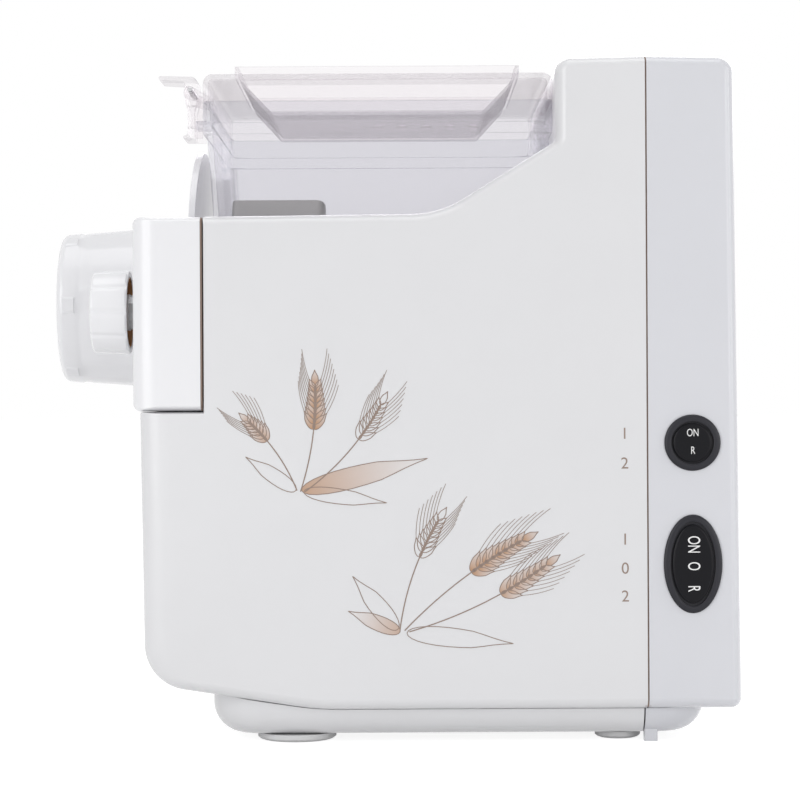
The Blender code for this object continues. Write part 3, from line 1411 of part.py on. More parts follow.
def build_electrics():
    back = GEARBOX_PLATE_X + GEARBOX_PLATE_THICKNESS + FIT_GAP
    capacitor_center = (back + CAPACITOR_RADIUS, CAPACITOR_OFFSET)
    add_part(
        "run_capacitor",
        cylinder(
            "Z",
            capacitor_center,
            CAPACITOR_RADIUS,
            CAPACITOR_BASE_HEIGHT,
            CAPACITOR_BASE_HEIGHT + CAPACITOR_LENGTH,
            SMALL_SIDES,
        ),
        gloss_grey,
    )
    add_part(
        "terminal_block",
        block(
            (back, TERMINAL_OFFSET, TERMINAL_BASE_HEIGHT),
            (back + TERMINAL_DEPTH, TERMINAL_OFFSET + TERMINAL_LENGTH, TERMINAL_BASE_HEIGHT + TERMINAL_HEIGHT),
        ),
        nylon,
    )
    gland_rear = rear_x_at(GLAND_HEIGHT) - FIT_GAP
    add_part(
        "cord_gland",
        tube(
            "X",
            (GLAND_OFFSET, GLAND_HEIGHT),
            GLAND_RADIUS,
            GLAND_BORE_RADIUS,
            gland_rear - GLAND_LENGTH,
            gland_rear,
            SMALL_SIDES,
        ),
        rubber,
    )
    reed_front = COLUMN_X + CASE_WALL + FIT_GAP
    reed_low = LID_BOTTOM
    add_part(
        "lid_switch",
        block(
            (reed_front, -REED_LENGTH / 2, reed_low),
            (reed_front + REED_DEPTH, REED_LENGTH / 2, reed_low + REED_HEIGHT),
        ),
        black,
    )


def oval_ring(grow, place, half_length=OVAL_BEZEL_HALF_LENGTH, half_width=OVAL_BEZEL_HALF_WIDTH):
    """An ellipse on the side face, its long axis upright, grown all round by a distance."""
    points = []
    for index in range(MEDIUM_SIDES):
        turn = 2 * math.pi * index / MEDIUM_SIDES
        x = SWITCH_X + (half_width + grow) * math.cos(turn)
        z = OVAL_SWITCH_HEIGHT + (half_length + grow) * math.sin(turn)
        points.append((x, place, z))
    return points


def build_switches():
    face = -CASE_HALF - FIT_GAP
    front = face - BEZEL_STAND + FIT_GAP
    rear = SWITCH_BODY_DEPTH - CASE_HALF
    center = (SWITCH_X, ROUND_SWITCH_HEIGHT)
    inner = ROUND_ROCKER_RADIUS + FIT_GAP
    outer = ROUND_BEZEL_RADIUS
    profile = [
        (front, inner),
        (front, outer - BEZEL_STAND / 2),
        (face - BEZEL_STAND / 4, outer),
        (face, outer),
        (face, outer - BEZEL_LIP),
        (rear, outer - BEZEL_LIP),
        (rear, inner),
    ]
    add_part("selector_bezel", turned("Y", center, profile, MEDIUM_SIDES, closed=True), charcoal)
    tip = front - ROCKER_STAND
    rocker_center = (SWITCH_X, face, ROUND_SWITCH_HEIGHT)
    profile = [
        (tip, ROUND_ROCKER_RADIUS - ROCKER_CROWN),
        (tip + ROCKER_CROWN / 2, ROUND_ROCKER_RADIUS - ROCKER_CROWN / 3),
        (face, ROUND_ROCKER_RADIUS - FIT_GAP),
        (face + ROCKER_DEPTH, ROUND_ROCKER_RADIUS - ROCKER_CROWN * 2),
    ]
    add_part("selector_rocker", turned("Y", center, profile, MEDIUM_SIDES), black, rocker_center)

    rocker = {"half_length": OVAL_ROCKER_HALF_LENGTH, "half_width": OVAL_ROCKER_HALF_WIDTH}
    rings = [
        oval_ring(FIT_GAP, front, **rocker),
        oval_ring(-BEZEL_STAND / 2, front),
        oval_ring(0, face - BEZEL_STAND / 4),
        oval_ring(0, face),
        oval_ring(-BEZEL_LIP, face),
        oval_ring(-BEZEL_LIP, rear),
        oval_ring(FIT_GAP, rear, **rocker),
    ]
    add_part("power_bezel", loft(rings, closed=True), charcoal)
    rings = [
        oval_ring(-ROCKER_CROWN, tip, **rocker),
        oval_ring(-ROCKER_CROWN / 3, tip + ROCKER_CROWN / 2, **rocker),
        oval_ring(-FIT_GAP, face, **rocker),
        oval_ring(-ROCKER_CROWN * 2, face + ROCKER_DEPTH, **rocker),
    ]
    add_part("power_rocker", loft(rings), black, (SWITCH_X, face, OVAL_SWITCH_HEIGHT))


clear_scene()
machine = bpy.data.objects.new("machine", None)
bpy.context.scene.collection.objects.link(machine)
machine.location.y = (BEZEL_STAND + ROCKER_STAND) / 2
gloss_white = make_material("gloss_white", WHITE, 0.25)
gloss_off_white = make_material("gloss_off_white", OFF_WHITE, 0.28)
clear_plastic = make_material("clear_plastic", CLEAR, 0.08)
charcoal = make_material("charcoal", CHARCOAL, 0.35)
black = make_material("black", BLACK, 0.3)
gloss_grey = make_material("gloss_grey", GREY, 0.35)
steel = make_material("steel", STEEL, 0.3, 1.0)
zinc = make_material("zinc", ZINC, 0.45, 1.0)
aluminium = make_material("aluminium", STEEL, 0.35, 1.0)
brass = make_material("brass", BRASS, 0.35, 1.0)
nylon = make_material("nylon", NYLON, 0.5)
rubber = make_material("rubber", GREY, 0.8)
build_main_shell()
build_rear_shell()
build_front_panel()
build_plinth()
build_feet()
build_bowl()
build_lid()
build_latch()
build_extruder()
build_auger()
build_hand_nuts()
build_gear_train()
build_shafts()
build_gearbox()
build_motor()
build_electrics()
build_switches()
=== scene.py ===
"""Looks of the electric pasta maker: smooth gloss shells, clear bowl and lid, switches, print, light and camera."""

import math

import bmesh
import bpy
from mathutils import Matrix, Vector


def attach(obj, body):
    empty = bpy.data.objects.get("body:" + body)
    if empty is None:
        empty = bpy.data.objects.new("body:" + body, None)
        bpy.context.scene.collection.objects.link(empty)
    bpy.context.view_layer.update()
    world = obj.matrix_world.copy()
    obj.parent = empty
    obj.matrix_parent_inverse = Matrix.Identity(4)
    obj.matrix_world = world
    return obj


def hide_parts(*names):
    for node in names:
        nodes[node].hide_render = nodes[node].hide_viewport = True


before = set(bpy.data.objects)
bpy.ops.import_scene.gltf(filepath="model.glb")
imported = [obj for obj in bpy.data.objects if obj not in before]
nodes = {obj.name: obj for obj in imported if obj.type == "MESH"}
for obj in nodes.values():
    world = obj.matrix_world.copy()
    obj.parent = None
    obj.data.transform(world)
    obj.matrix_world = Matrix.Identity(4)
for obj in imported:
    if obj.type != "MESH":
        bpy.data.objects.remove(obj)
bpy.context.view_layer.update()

# Case
CASE_HALF = 0.100
MIDDLE_Y = 0.001
CASE_WALL = 0.0025
FIT = 0.0003
SEAM_X = 0.112
SEAM_LIPS = (0.0005, 0.0012)
PANEL_GAP = 0.0008
FRONT_X = -0.106
NOSE_X = -0.0785
PANEL_X = -0.109
COLUMN_X = 0.074
REAR_X = 0.1535
REAR_LEAN = 0.0025
UNDERSIDE_HEIGHT = 0.0155
NOSE_RISE = 0.0115
NOSE_RISE_LENGTH = 0.076
FRONT_LEAN = 0.0016
DECK_HEIGHT = 0.2298
DECK_FALL = 0.0008
SLOPE_TOP = 0.2607
SLOPE_LENGTH = 0.050
COLUMN_HEIGHT = 0.2975
COLUMN_CROWN = 0.0008
COLUMN_RADIUS = 0.007
LEDGE_HEIGHT = 0.1445
FRONT_FILLET = 0.012
REAR_FILLET = 0.0045
TOP_FILLET = 0.0042
COLUMN_FILLET = 0.0055
BOTTOM_FILLET = 0.005
FILLET_DEPTH = 0.008
FILLET_STEPS = 10
ARC_STEP_DEG = 4.0
LIP_FILLET = 0.0004
PANEL_CORNER = 0.0035
PANEL_TOP = DECK_HEIGHT - 0.001
STRIP_INSET = 0.0007
STRIP_WALL = 0.001
VENT_COUNT = 7
VENT_PITCH = 0.0075
VENT_SIZE = (0.030, 0.003)
VENT_COLUMN = 0.0195
REAR_VENT_HEIGHT = 0.165
GLAND_PLACE = (0.051, 0.036)
GLAND_RADIUS = 0.0075

# Crest on the front panel
CREST_X = PANEL_X + 0.0212
CREST_SIZE = (0.003, 0.058, 0.0362)
CREST_LEAN = 0.0014

# Plinth and feet
STAND_HEIGHT = 0.0035
PLINTH_HALF = 0.092
PLINTH_FRONT_X = -0.0762
PLINTH_REAR_X = 0.1394
PLINTH_CORNER = 0.022
PLINTH_FILLET = 0.0135
FOOT_SPACING = 0.136
FEET = {"front": (-0.0397, 0.0173), "rear": (0.1019, 0.010)}
LUG_SIZE = (0.0058, 0.006, 0.0078)

# Bowl
AXIS_HEIGHT = 0.193
BOWL_FRONT_X = -0.0755
BOWL_REAR_X = 0.0728
BOWL_RADIUS = 0.074
BOWL_WALL = 0.0023
BOWL_FLARE = 0.0034
BOWL_CORNER = 0.012
RIM_HALF = 0.084
RIM_HEIGHT = 0.2796
RIM_FLANGE = 0.003
RIM_BAND = 0.014
RIM_LEDGE_DROP = 0.0089
RIM_LEDGE_WIDTH = 0.0024
CATCH_SIZE = (0.0092, 0.009, 0.0032)

# Lid and latch
LID_FRONT_X = BOWL_FRONT_X - BOWL_FLARE
LID_REAR_X = COLUMN_X - FIT
LID_HALF = RIM_HALF + RIM_FLANGE
LID_BOTTOM = RIM_HEIGHT + FIT
LID_TOP = LID_BOTTOM + 0.012
LID_WALL = 0.0022
LID_CORNER = 0.0042
TROUGH_TOP = LID_TOP + 0.0062
TROUGH_FLOOR = LID_BOTTOM - 0.0036
TROUGH_HALF = 0.060
TROUGH_FRONT_X = LID_FRONT_X + 0.0125
TROUGH_REAR_X = LID_REAR_X - 0.0135
TROUGH_SLANT = 0.0155
HOLE_RADIUS = 0.0024
HOLE_COUNT = 5
HOLE_PITCH = 0.0112
LID_FIRST_HOLE_X = -0.0031
PIN_X = -0.0899
PIN_HEIGHT = 0.2934
PIN_RADIUS = 0.0012
LATCH_HALF = 0.013

# Nuts and die
NUT_FRONT_X = -0.1503
NUT_EDGE = 0.0034
NUT_LIP = 0.0014
NUT_REAR_X = -0.1135
NUT_FRONT_RADIUS = 0.0344
NUT_REAR_RADIUS = 0.0367
NUT_CAP_LENGTH = 0.0092
NUT_LOBES = 6
NUT_LOBE_DEPTH = 0.0008
BARREL_RADIUS = 0.028
DIE_X = -0.1486
STUD_SPACING = 0.140
STUD_HEIGHT = 0.1885
HAND_NUT_REAR_X = -0.1124
HAND_NUT_LENGTH = 0.0162
HAND_NUT_RADIUS = 0.0186
HAND_NUT_FLUTES = 10
FLUTE_DEPTH = 0.0006

# Switches
SIDE_Y = MIDDLE_Y - CASE_HALF
SWITCH_X = 0.1321
ROUND_HEIGHT = 0.1302
OVAL_HEIGHT = 0.0781
ROUND_BEZEL = (0.0121, 0.0121)
ROUND_ROCKER = (0.0085, 0.0085)
OVAL_BEZEL = (0.0126, 0.0212)
OVAL_ROCKER = (0.0090, 0.0170)
BEZEL_LIP = 0.0018
BEZEL_STAND = 0.0014
ROCKER_GAP = 0.0004

# Print
PRINT_LINE = 0.00026
PRINT_LIFT = 0.00002

# Auger and paddles
SCREW_TIP_X = -0.1415
SCREW_PITCH = 0.024
SCREW_TURNS = 4
SCREW_STEPS = 40
SCREW_RADIUS = 0.0222
FLIGHT_THICKNESS = 0.0036
CORE_RADIUS = 0.009
SHAFT_RADIUS = 0.008
SHAFT_REAR_X = 0.064
SHAFT_EDGE = 0.001
PADDLE_HUB_LENGTH = 0.060
PADDLE_HUB_RADIUS = 0.0125
PADDLE_REACH = 0.0655
PADDLE_BAR = 0.004
PADDLE_ARM = 0.012
PADDLE_BAR_LENGTH = 0.030
PADDLE_ANGLES_DEG = (139.5, 319.5)

# Die
DIE_HOLE_RADIUS = 0.0017
DIE_RINGS = ((1, 0), (6, 0.0072), (12, 0.0145))

# Camera, in the photo's own frame
CAMERA_DISTANCE = 1.1
FRAME_WIDTH = 0.344
SENSOR_WIDTH = 0.036
CAMERA_X = 0.0065
CAMERA_HEIGHT = 0.1492
CAMERA_ROLL_DEG = 0.3

AXES = {"X": Vector((1, 0, 0)), "Y": Vector((0, 1, 0)), "Z": Vector((0, 0, 1))}


def face_from(points):
    """A flat face through a few corners."""
    bm = bmesh.new()
    bm.faces.new([bm.verts.new(point) for point in points])
    return bm


def round_corners(bm, radii, segments=8):
    """Rounds each corner of a flat face by its own radius."""
    bm.verts.ensure_lookup_table()
    for vert, radius in zip(list(bm.verts), radii):
        if radius:
            before, after = [edge.other_vert(vert).co - vert.co for edge in vert.link_edges]
            turn = math.pi - before.angle(after)
            bmesh.ops.bevel(
                bm,
                geom=[vert],
                offset=radius * math.tan(turn / 2),
                offset_type="OFFSET",
                segments=segments,
                profile=0.5,
                affect="VERTICES",
                material=-1,
            )
    return bm


def extruded(bm, along):
    """Draws every face out along a vector into a closed solid."""
    made = bmesh.ops.extrude_face_region(bm, geom=bm.faces[:])
    bmesh.ops.translate(bm, verts=[v for v in made["geom"] if isinstance(v, bmesh.types.BMVert)], vec=along)
    bmesh.ops.recalc_face_normals(bm, faces=bm.faces[:])
    return bm


def prism(corners, low, high, segments=8):
    """A profile of (x, z, radius) corners drawn out across the case from one side to the other."""
    bm = face_from([(x, low, z) for x, z, radius in corners])
    round_corners(bm, [radius for x, z, radius in corners], segments)
    return extruded(bm, (0, high - low, 0))


def across(corners, half, segments=8):
    """The same, to both sides of the case's middle."""
    return prism(corners, MIDDLE_Y - half, MIDDLE_Y + half, segments)


def round_edges(bm, test, width, segments=4):
    """Rounds the edges whose two ends pass a test."""
    edges = [edge for edge in bm.edges if test(*(vert.co for vert in edge.verts))]
    bmesh.ops.bevel(
        bm, geom=edges, offset=width, segments=segments, profile=0.5, affect="EDGES", material=-1, clamp_overlap=True
    )
    return bm


def box_mesh(low, high, corner=0.0, axis="Z"):
    """A box, its edges along one axis rounded."""
    bm = bmesh.new()
    bmesh.ops.create_cube(bm, size=1)
    bmesh.ops.scale(bm, verts=bm.verts[:], vec=Vector(high) - Vector(low))
    bmesh.ops.translate(bm, verts=bm.verts[:], vec=(Vector(high) + Vector(low)) / 2)
    if corner:
        round_edges(bm, lambda a, b: (a - b).cross(AXES[axis]).length < 1e-7, corner, 6)
    return bm


def turned(profile, center, axis, steps=96, closed=False):
    """A profile of (place, radius) points spun round an axis into a solid, or closed into a ring."""
    bm = bmesh.new()
    along = AXES[axis]
    out = AXES["X"] if axis == "Z" else AXES["Z"]
    verts = [bm.verts.new(Vector(center) + along * place + out * radius) for place, radius in profile]
    pairs = zip(verts, verts[1:] + (verts[:1] if closed else []))
    edges = [bm.edges.new(pair) for pair in pairs]
    bmesh.ops.spin(
        bm, geom=verts + edges, cent=center, axis=along, dvec=(0, 0, 0), angle=math.tau, steps=steps, use_merge=True
    )
    bmesh.ops.remove_doubles(bm, verts=bm.verts[:], dist=1e-6)
    bmesh.ops.holes_fill(bm, edges=[edge for edge in bm.edges if edge.is_boundary])
    bmesh.ops.recalc_face_normals(bm, faces=bm.faces[:])
    return bm


def cylinder(center, radius, axis, low, high, steps=64):
    return turned([(low, radius), (high, radius)], center, axis, steps)


def merged(meshes):
    """One mesh that holds several solids."""
    whole = bmesh.new()
    for bm in meshes:
        piece = bpy.data.meshes.new("piece")
        bm.to_mesh(piece)
        bm.free()
        whole.from_mesh(piece)
        bpy.data.meshes.remove(piece)
    return whole


def new_object(name, bm):
    mesh = bpy.data.meshes.new(name)
    bm.to_mesh(mesh)
    bm.free()
    made = bpy.data.objects.new(name, mesh)
    bpy.context.scene.collection.objects.link(made)
    return made


def boolean(made, bm, operation="DIFFERENCE"):
    """Cuts or joins another solid and keeps only the result."""
    other = new_object("helper", bm)
    step = made.modifiers.new("boolean", "BOOLEAN")
    step.operation = operation
    step.solver = "MANIFOLD"
    step.object = other
    settle(made)
    bpy.data.objects.remove(other)
    return made


def settle(made):
    """Makes the result of the modifiers so far the object's own mesh."""
    bpy.context.view_layer.update()
    graph = bpy.context.evaluated_depsgraph_get()
    made.data = bpy.data.meshes.new_from_object(made.evaluated_get(graph))
    made.modifiers.clear()
    return made


def bevelled(made, width, segments=3, angle_deg=35.0):
    step = made.modifiers.new("bevel", "BEVEL")
    step.width = width
    step.segments = segments
    step.limit_method = "ANGLE"
    step.angle_limit = math.radians(angle_deg)
    step.miter_outer = "MITER_ARC"
    return made


def walled(made, thickness):
    step = made.modifiers.new("wall", "SOLIDIFY")
    step.thickness = thickness
    step.offset = -1
    step.use_even_offset = True
    return made


def dressed(made, material, body, *replaced, smooth_deg=50.0):
    """Shades a finished piece, gives it its material and sets it on its body in place of its plain solids."""
    made.data.materials.clear()
    made.data.materials.append(material)
    made.data.shade_smooth()
    made.data.set_sharp_from_angle(angle=math.radians(smooth_deg))
    weighted = made.modifiers.new("normals", "WEIGHTED_NORMAL")
    weighted.keep_sharp = True
    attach(made, body)
    if replaced:
        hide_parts(*replaced)
    return made


def drop_faces(bm, test):
    bmesh.ops.delete(bm, geom=[face for face in bm.faces if test(face)], context="FACES")


def moved_corners(corners, distances):
    """Each corner where its two edges meet after both move inwards by their own distances."""
    moved = []
    for index, corner in enumerate(corners):
        here = Vector(corner[:2])
        run_in = (here - Vector(corners[index - 1][:2])).normalized()
        run_out = (Vector(corners[(index + 1) % len(corners)][:2]) - here).normalized()
        step_in = Vector((-run_in.y, run_in.x)) * distances[index - 1]
        step_out = Vector((-run_out.y, run_out.x)) * distances[index]
        turn = run_in.cross(run_out)
        if abs(turn) < math.sin(math.radians(1)):
            moved.append(here + step_out)
        else:
            moved.append(here + step_in + run_in * ((step_out - step_in).cross(run_out) / turn))
    return moved


def outline_points(corners, distances):
    """Points of a rounded outline, anticlockwise, whose edges have moved inwards by the distances."""
    places = moved_corners(corners, distances)
    count = len(corners)
    points = []
    for index, place in enumerate(places):
        radius = corners[index][2]
        run_in = place - places[index - 1]
        run_out = places[(index + 1) % count] - place
        angle = -run_in.angle_signed(run_out, 0.0)
        if radius == 0 or abs(angle) < math.radians(1):
            points.append(place)
            continue
        inwards = (distances[index - 1] + distances[index]) / 2
        radius = max(radius - inwards if angle > 0 else radius + inwards, 0.00005)
        half_tangent = math.tan(abs(angle) / 2)
        radius = min(radius, min(run_in.length, run_out.length) / 2 / half_tangent)
        along = run_in.normalized()
        side = Vector((-along.y, along.x)) * math.copysign(1, angle)
        start = place - along * radius * half_tangent
        steps = max(2, math.ceil(abs(angle) / math.radians(ARC_STEP_DEG)))
        for step in range(steps + 1):
            turn = abs(angle) * step / steps
            points.append(start + along * radius * math.sin(turn) + side * radius * (1 - math.cos(turn)))
    return points


def case_solid(corners, wall=0.0):
    """A case piece whose side outline has its own fillet on each edge, or with a wall, the hollow inside it.

    A corner is (x, z, radius, fillet of the edge that follows), and a fillet of None marks an open edge.
    """

    def ring(share, place):
        distances = []
        for corner in corners:
            if corner[3] is None:
                distances.append(-0.02 if wall else 0)
            else:
                distances.append(wall + max(corner[3] - wall, 0) * share)
        return [(p.x, place, p.y) for p in outline_points(corners, distances)]

    half = CASE_HALF - wall
    depth = FILLET_DEPTH - wall
    shares = [math.pi / 2 * step / FILLET_STEPS for step in range(FILLET_STEPS + 1)]
    near = [ring(1 - math.sin(turn), MIDDLE_Y - half + depth * (1 - math.cos(turn))) for turn in shares]
    far = [ring(1 - math.sin(turn), MIDDLE_Y + half - depth * (1 - math.cos(turn))) for turn in shares]
    bm = bmesh.new()
    loops = []
    for points in near + far[::-1]:
        verts = [bm.verts.new(point) for point in points]
        loops.append([bm.edges.new(pair) for pair in zip(verts, verts[1:] + verts[:1])])
    for first, second in zip(loops, loops[1:]):
        bmesh.ops.bridge_loops(bm, edges=first + second)
    bmesh.ops.holes_fill(bm, edges=loops[0] + loops[-1])
    bmesh.ops.recalc_face_normals(bm, faces=bm.faces[:])
    return bm


def case_shell(name, corners):
    made = new_object(name, case_solid(corners))
    return boolean(made, case_solid(corners, CASE_WALL))


def noise(tree, scale, detail, coords):
    node = tree.nodes.new("ShaderNodeTexNoise")
    node.inputs["Scale"].default_value = scale
    node.inputs["Detail"].default_value = detail
    tree.links.new(coords, node.inputs["Vector"])
    return node.outputs["Fac"]


def ranged(tree, value, low, high):
    node = tree.nodes.new("ShaderNodeMapRange")
    node.inputs["To Min"].default_value = low
    node.inputs["To Max"].default_value = high
    tree.links.new(value, node.inputs["Value"])
    return node.outputs["Result"]


def tinted(tree, value, first, second):
    node = tree.nodes.new("ShaderNodeMix")
    node.data_type = "RGBA"
    node.inputs["A"].default_value = (*first, 1)
    node.inputs["B"].default_value = (*second, 1)
    tree.links.new(value, node.inputs["Factor"])
    return node.outputs["Result"]


def finish(name, color, roughness, metallic=0.0, mottle=0.03, grain=900.0, bump=0.02, worn=0.06):
    """A finish with slight mottling, uneven gloss and a fine moulded or turned grain."""
    material = bpy.data.materials.new(name)
    material.use_nodes = True
    tree = material.node_tree
    shader = tree.nodes["Principled BSDF"]
    shader.inputs["Metallic"].default_value = metallic
    coords = tree.nodes.new("ShaderNodeTexCoord").outputs["Object"]
    cloud = noise(tree, 35.0, 3.0, coords)
    darker = tuple(channel * (1 - mottle) for channel in color)
    tree.links.new(tinted(tree, cloud, color, darker), shader.inputs["Base Color"])
    smear = noise(tree, 90.0, 4.0, coords)
    tree.links.new(ranged(tree, smear, roughness - worn / 2, roughness + worn / 2), shader.inputs["Roughness"])
    relief = tree.nodes.new("ShaderNodeBump")
    relief.inputs["Strength"].default_value = bump
    relief.inputs["Distance"].default_value = 0.0002
    tree.links.new(noise(tree, grain, 2.0, coords), relief.inputs["Height"])
    tree.links.new(relief.outputs["Normal"], shader.inputs["Normal"])
    return material


def clear_finish(name, tint, painted_edge_shade, haze, shine):
    """Clear polished plastic: tinted by each face it is seen through, with painted shade along its edges where they are
    seen edge-on, in place of the dark lines refraction gives, and a clear gloss.
    """
    material = finish(name, tint, 0.08, mottle=0.01, grain=60.0, bump=0.01, worn=0.04)
    tree = material.node_tree
    gloss = tree.nodes["Principled BSDF"]
    through = tree.nodes.new("ShaderNodeBsdfTransparent")
    # Painted shade: the tint turns dark where a face is seen edge-on, standing in for refraction along the edges.
    facing = tree.nodes.new("ShaderNodeLayerWeight")
    facing.inputs["Blend"].default_value = 0.5
    edge = tree.nodes.new("ShaderNodeMath")
    edge.operation = "POWER"
    edge.inputs[1].default_value = 14.0
    tree.links.new(facing.outputs["Facing"], edge.inputs[0])
    tree.links.new(tinted(tree, edge.outputs[0], tint, painted_edge_shade), through.inputs["Color"])
    mirror = tree.nodes.new("ShaderNodeFresnel")
    mirror.inputs["IOR"].default_value = 1.45
    both = tree.nodes.new("ShaderNodeMixShader")
    tree.links.new(ranged(tree, mirror.outputs["Fac"], haze, shine), both.inputs["Fac"])
    tree.links.new(through.outputs[0], both.inputs[1])
    tree.links.new(gloss.outputs[0], both.inputs[2])
    tree.links.new(both.outputs[0], tree.nodes["Material Output"].inputs["Surface"])
    return material


def faded_ink(name, ink, ground):
    """Printed ink that fades into the plastic's own colour along each painted shape."""
    material = finish(name, ink, 0.3)
    tree = material.node_tree
    shade = tree.nodes.new("ShaderNodeAttribute")
    shade.attribute_name = "shade"
    tree.links.new(tinted(tree, shade.outputs["Fac"], ground, ink), tree.nodes["Principled BSDF"].inputs["Base Color"])
    return material


WHITE_COLOR = (0.70, 0.70, 0.715)
white = finish("gloss_white_case", WHITE_COLOR, 0.24)
panel_white = finish("gloss_white_panel", (0.78, 0.78, 0.80), 0.22)
off_white = finish("gloss_off_white_case", (0.64, 0.645, 0.68), 0.22)
# The second colour of each clear finish is its painted edge shade.
clear_bowl = clear_finish("clear_bowl_plastic", (0.915, 0.912, 0.928), (0.40, 0.39, 0.42), 0.03, 0.26)
clear_lid = clear_finish("clear_lid_plastic", (0.975, 0.966, 0.972), (0.34, 0.32, 0.35), 0.03, 0.22)
charcoal = finish("satin_charcoal", (0.016, 0.016, 0.022), 0.42, mottle=0.15, bump=0.05)
charcoal.node_tree.nodes["Principled BSDF"].inputs["Specular IOR Level"].default_value = 0.30
black = finish("gloss_black", (0.004, 0.004, 0.006), 0.35, mottle=0.1)
black.node_tree.nodes["Principled BSDF"].inputs["Specular IOR Level"].default_value = 0.16
mark_white = finish("white_ink", (0.80, 0.80, 0.80), 0.5)
brown_ink = finish("brown_ink", (0.27, 0.20, 0.165), 0.4)
tan_ink = faded_ink("tan_ink", (0.44, 0.235, 0.115), WHITE_COLOR)
# Dark brown of the seam strips: painted shade of the seam gaps.
painted_seam_shade_brown = finish("seam_shade", (0.26, 0.19, 0.155), 0.8)
tan = finish("tan_insert", (0.62, 0.29, 0.12), 0.45)
paddle_grey = finish("satin_paddle_plastic", (0.36, 0.355, 0.34), 0.4, mottle=0.08, bump=0.05)
dark_grey = finish("satin_grey_plastic", (0.16, 0.16, 0.165), 0.4, mottle=0.08, bump=0.05)
rubber = finish("foot_rubber", (0.70, 0.70, 0.705), 0.75, mottle=0.1, grain=400.0, bump=0.15)
steel = finish("turned_steel", (0.56, 0.56, 0.57), 0.30, 1.0, mottle=0.06, grain=500.0, bump=0.05)
zinc = finish("zinc_sheet", (0.50, 0.51, 0.53), 0.42, 1.0, mottle=0.12, grain=200.0, bump=0.06)
aluminium = finish("cast_aluminium", (0.62, 0.62, 0.63), 0.38, 1.0, mottle=0.08, grain=300.0, bump=0.08)
brass = finish("turned_brass", (0.66, 0.45, 0.19), 0.32, 1.0, mottle=0.08, grain=500.0, bump=0.05)
nylon = finish("natural_nylon", (0.70, 0.68, 0.60), 0.5, mottle=0.05)

node_finishes = {
    off_white: ["bowl_cradle", "bowl_well", "bulkhead"],
    black: ["lid_switch"],
    dark_grey: ["motor_fan", "run_capacitor"],
    rubber: ["shaft_seal", "cord_gland"],
    zinc: ["motor_can", "gearbox_plate", "stud_collar_left", "stud_collar_right"],
    brass: ["layshaft_bush_front", "layshaft_bush_rear"],
    nylon: ["output_gear", "layshaft_gear", "terminal_block"],
}
for node in nodes.values():
    node.data.materials.clear()
    node.data.materials.append(steel)
for material, names in node_finishes.items():
    for name in names:
        nodes[name].data.materials[0] = material


def build_main_shell():
    corners = [
        (FRONT_X + FRONT_LEAN, UNDERSIDE_HEIGHT + NOSE_RISE, 0.020, BOTTOM_FILLET),
        (FRONT_X + NOSE_RISE_LENGTH, UNDERSIDE_HEIGHT, 0.120, BOTTOM_FILLET),
        (SEAM_X + SEAM_LIPS[0], UNDERSIDE_HEIGHT, 0, None),
        (SEAM_X + SEAM_LIPS[0], COLUMN_HEIGHT, 0, TOP_FILLET),
        (COLUMN_X, COLUMN_HEIGHT - COLUMN_CROWN, COLUMN_RADIUS, COLUMN_FILLET),
        (COLUMN_X, SLOPE_TOP, 0.003, TOP_FILLET),
        (COLUMN_X - SLOPE_LENGTH, DECK_HEIGHT, 0.045, TOP_FILLET),
        (NOSE_X, DECK_HEIGHT - DECK_FALL, 0.001, 0.001),
        (NOSE_X, LEDGE_HEIGHT, 0, 0.001),
        (FRONT_X, LEDGE_HEIGHT, 0.001, FRONT_FILLET),
    ]
    made = case_shell("main_shell_skin", corners)
    opening_half = RIM_HALF + LIP_FILLET
    low = (NOSE_X + CASE_WALL, MIDDLE_Y - opening_half, DECK_HEIGHT - 0.02)
    boolean(made, box_mesh(low, (COLUMN_X - FIT, MIDDLE_Y + opening_half, COLUMN_HEIGHT + 0.02)))
    boolean(made, cylinder((NOSE_X, MIDDLE_Y, AXIS_HEIGHT), BARREL_RADIUS + FIT, "X", -0.02, 0.02))
    bevelled(made, LIP_FILLET, 2, angle_deg=50)
    dressed(made, white, "root", "main_shell")


def switch_hole(size, height, depth):
    """A round or oval plug of a switch's size, across the side of the case."""
    bm = cylinder((0, 0, 0), 1.0, "Y", -depth, depth, 96)
    bmesh.ops.scale(bm, verts=bm.verts[:], vec=(size[0], 1, size[1]))
    bmesh.ops.translate(bm, verts=bm.verts[:], vec=(SWITCH_X, SIDE_Y, height))
    return bm


def build_rear_shell():
    seam = SEAM_X + SEAM_LIPS[1]
    corners = [
        (seam, UNDERSIDE_HEIGHT, 0, BOTTOM_FILLET),
        (REAR_X, UNDERSIDE_HEIGHT, 0.0045, REAR_FILLET),
        (REAR_X - REAR_LEAN, COLUMN_HEIGHT - COLUMN_CROWN, COLUMN_RADIUS, TOP_FILLET),
        (seam, COLUMN_HEIGHT, 0, None),
    ]
    made = case_shell("rear_shell_skin", corners)
    length, width = VENT_SIZE
    cutters = []
    for index in range(VENT_COUNT):
        height = REAR_VENT_HEIGHT + (index - (VENT_COUNT - 1) / 2) * VENT_PITCH
        for side in (-1, 1):
            middle = MIDDLE_Y + side * VENT_COLUMN
            low = (REAR_X - 0.02, middle - length / 2, height - width / 2)
            high = (REAR_X + 0.02, middle + length / 2, height + width / 2)
            cutters.append(box_mesh(low, high, width * 0.45, "X"))
    cutters.append(cylinder((REAR_X, *GLAND_PLACE), GLAND_RADIUS + FIT, "X", -0.02, 0.02, 48))
    lip = BEZEL_LIP - FIT
    cutters.append(switch_hole([size - lip for size in ROUND_BEZEL], ROUND_HEIGHT, 0.02))
    cutters.append(switch_hole([size - lip for size in OVAL_BEZEL], OVAL_HEIGHT, 0.02))
    boolean(made, merged(cutters))
    bevelled(made, LIP_FILLET, 2, angle_deg=50)
    dressed(made, off_white, "root", "rear_shell")


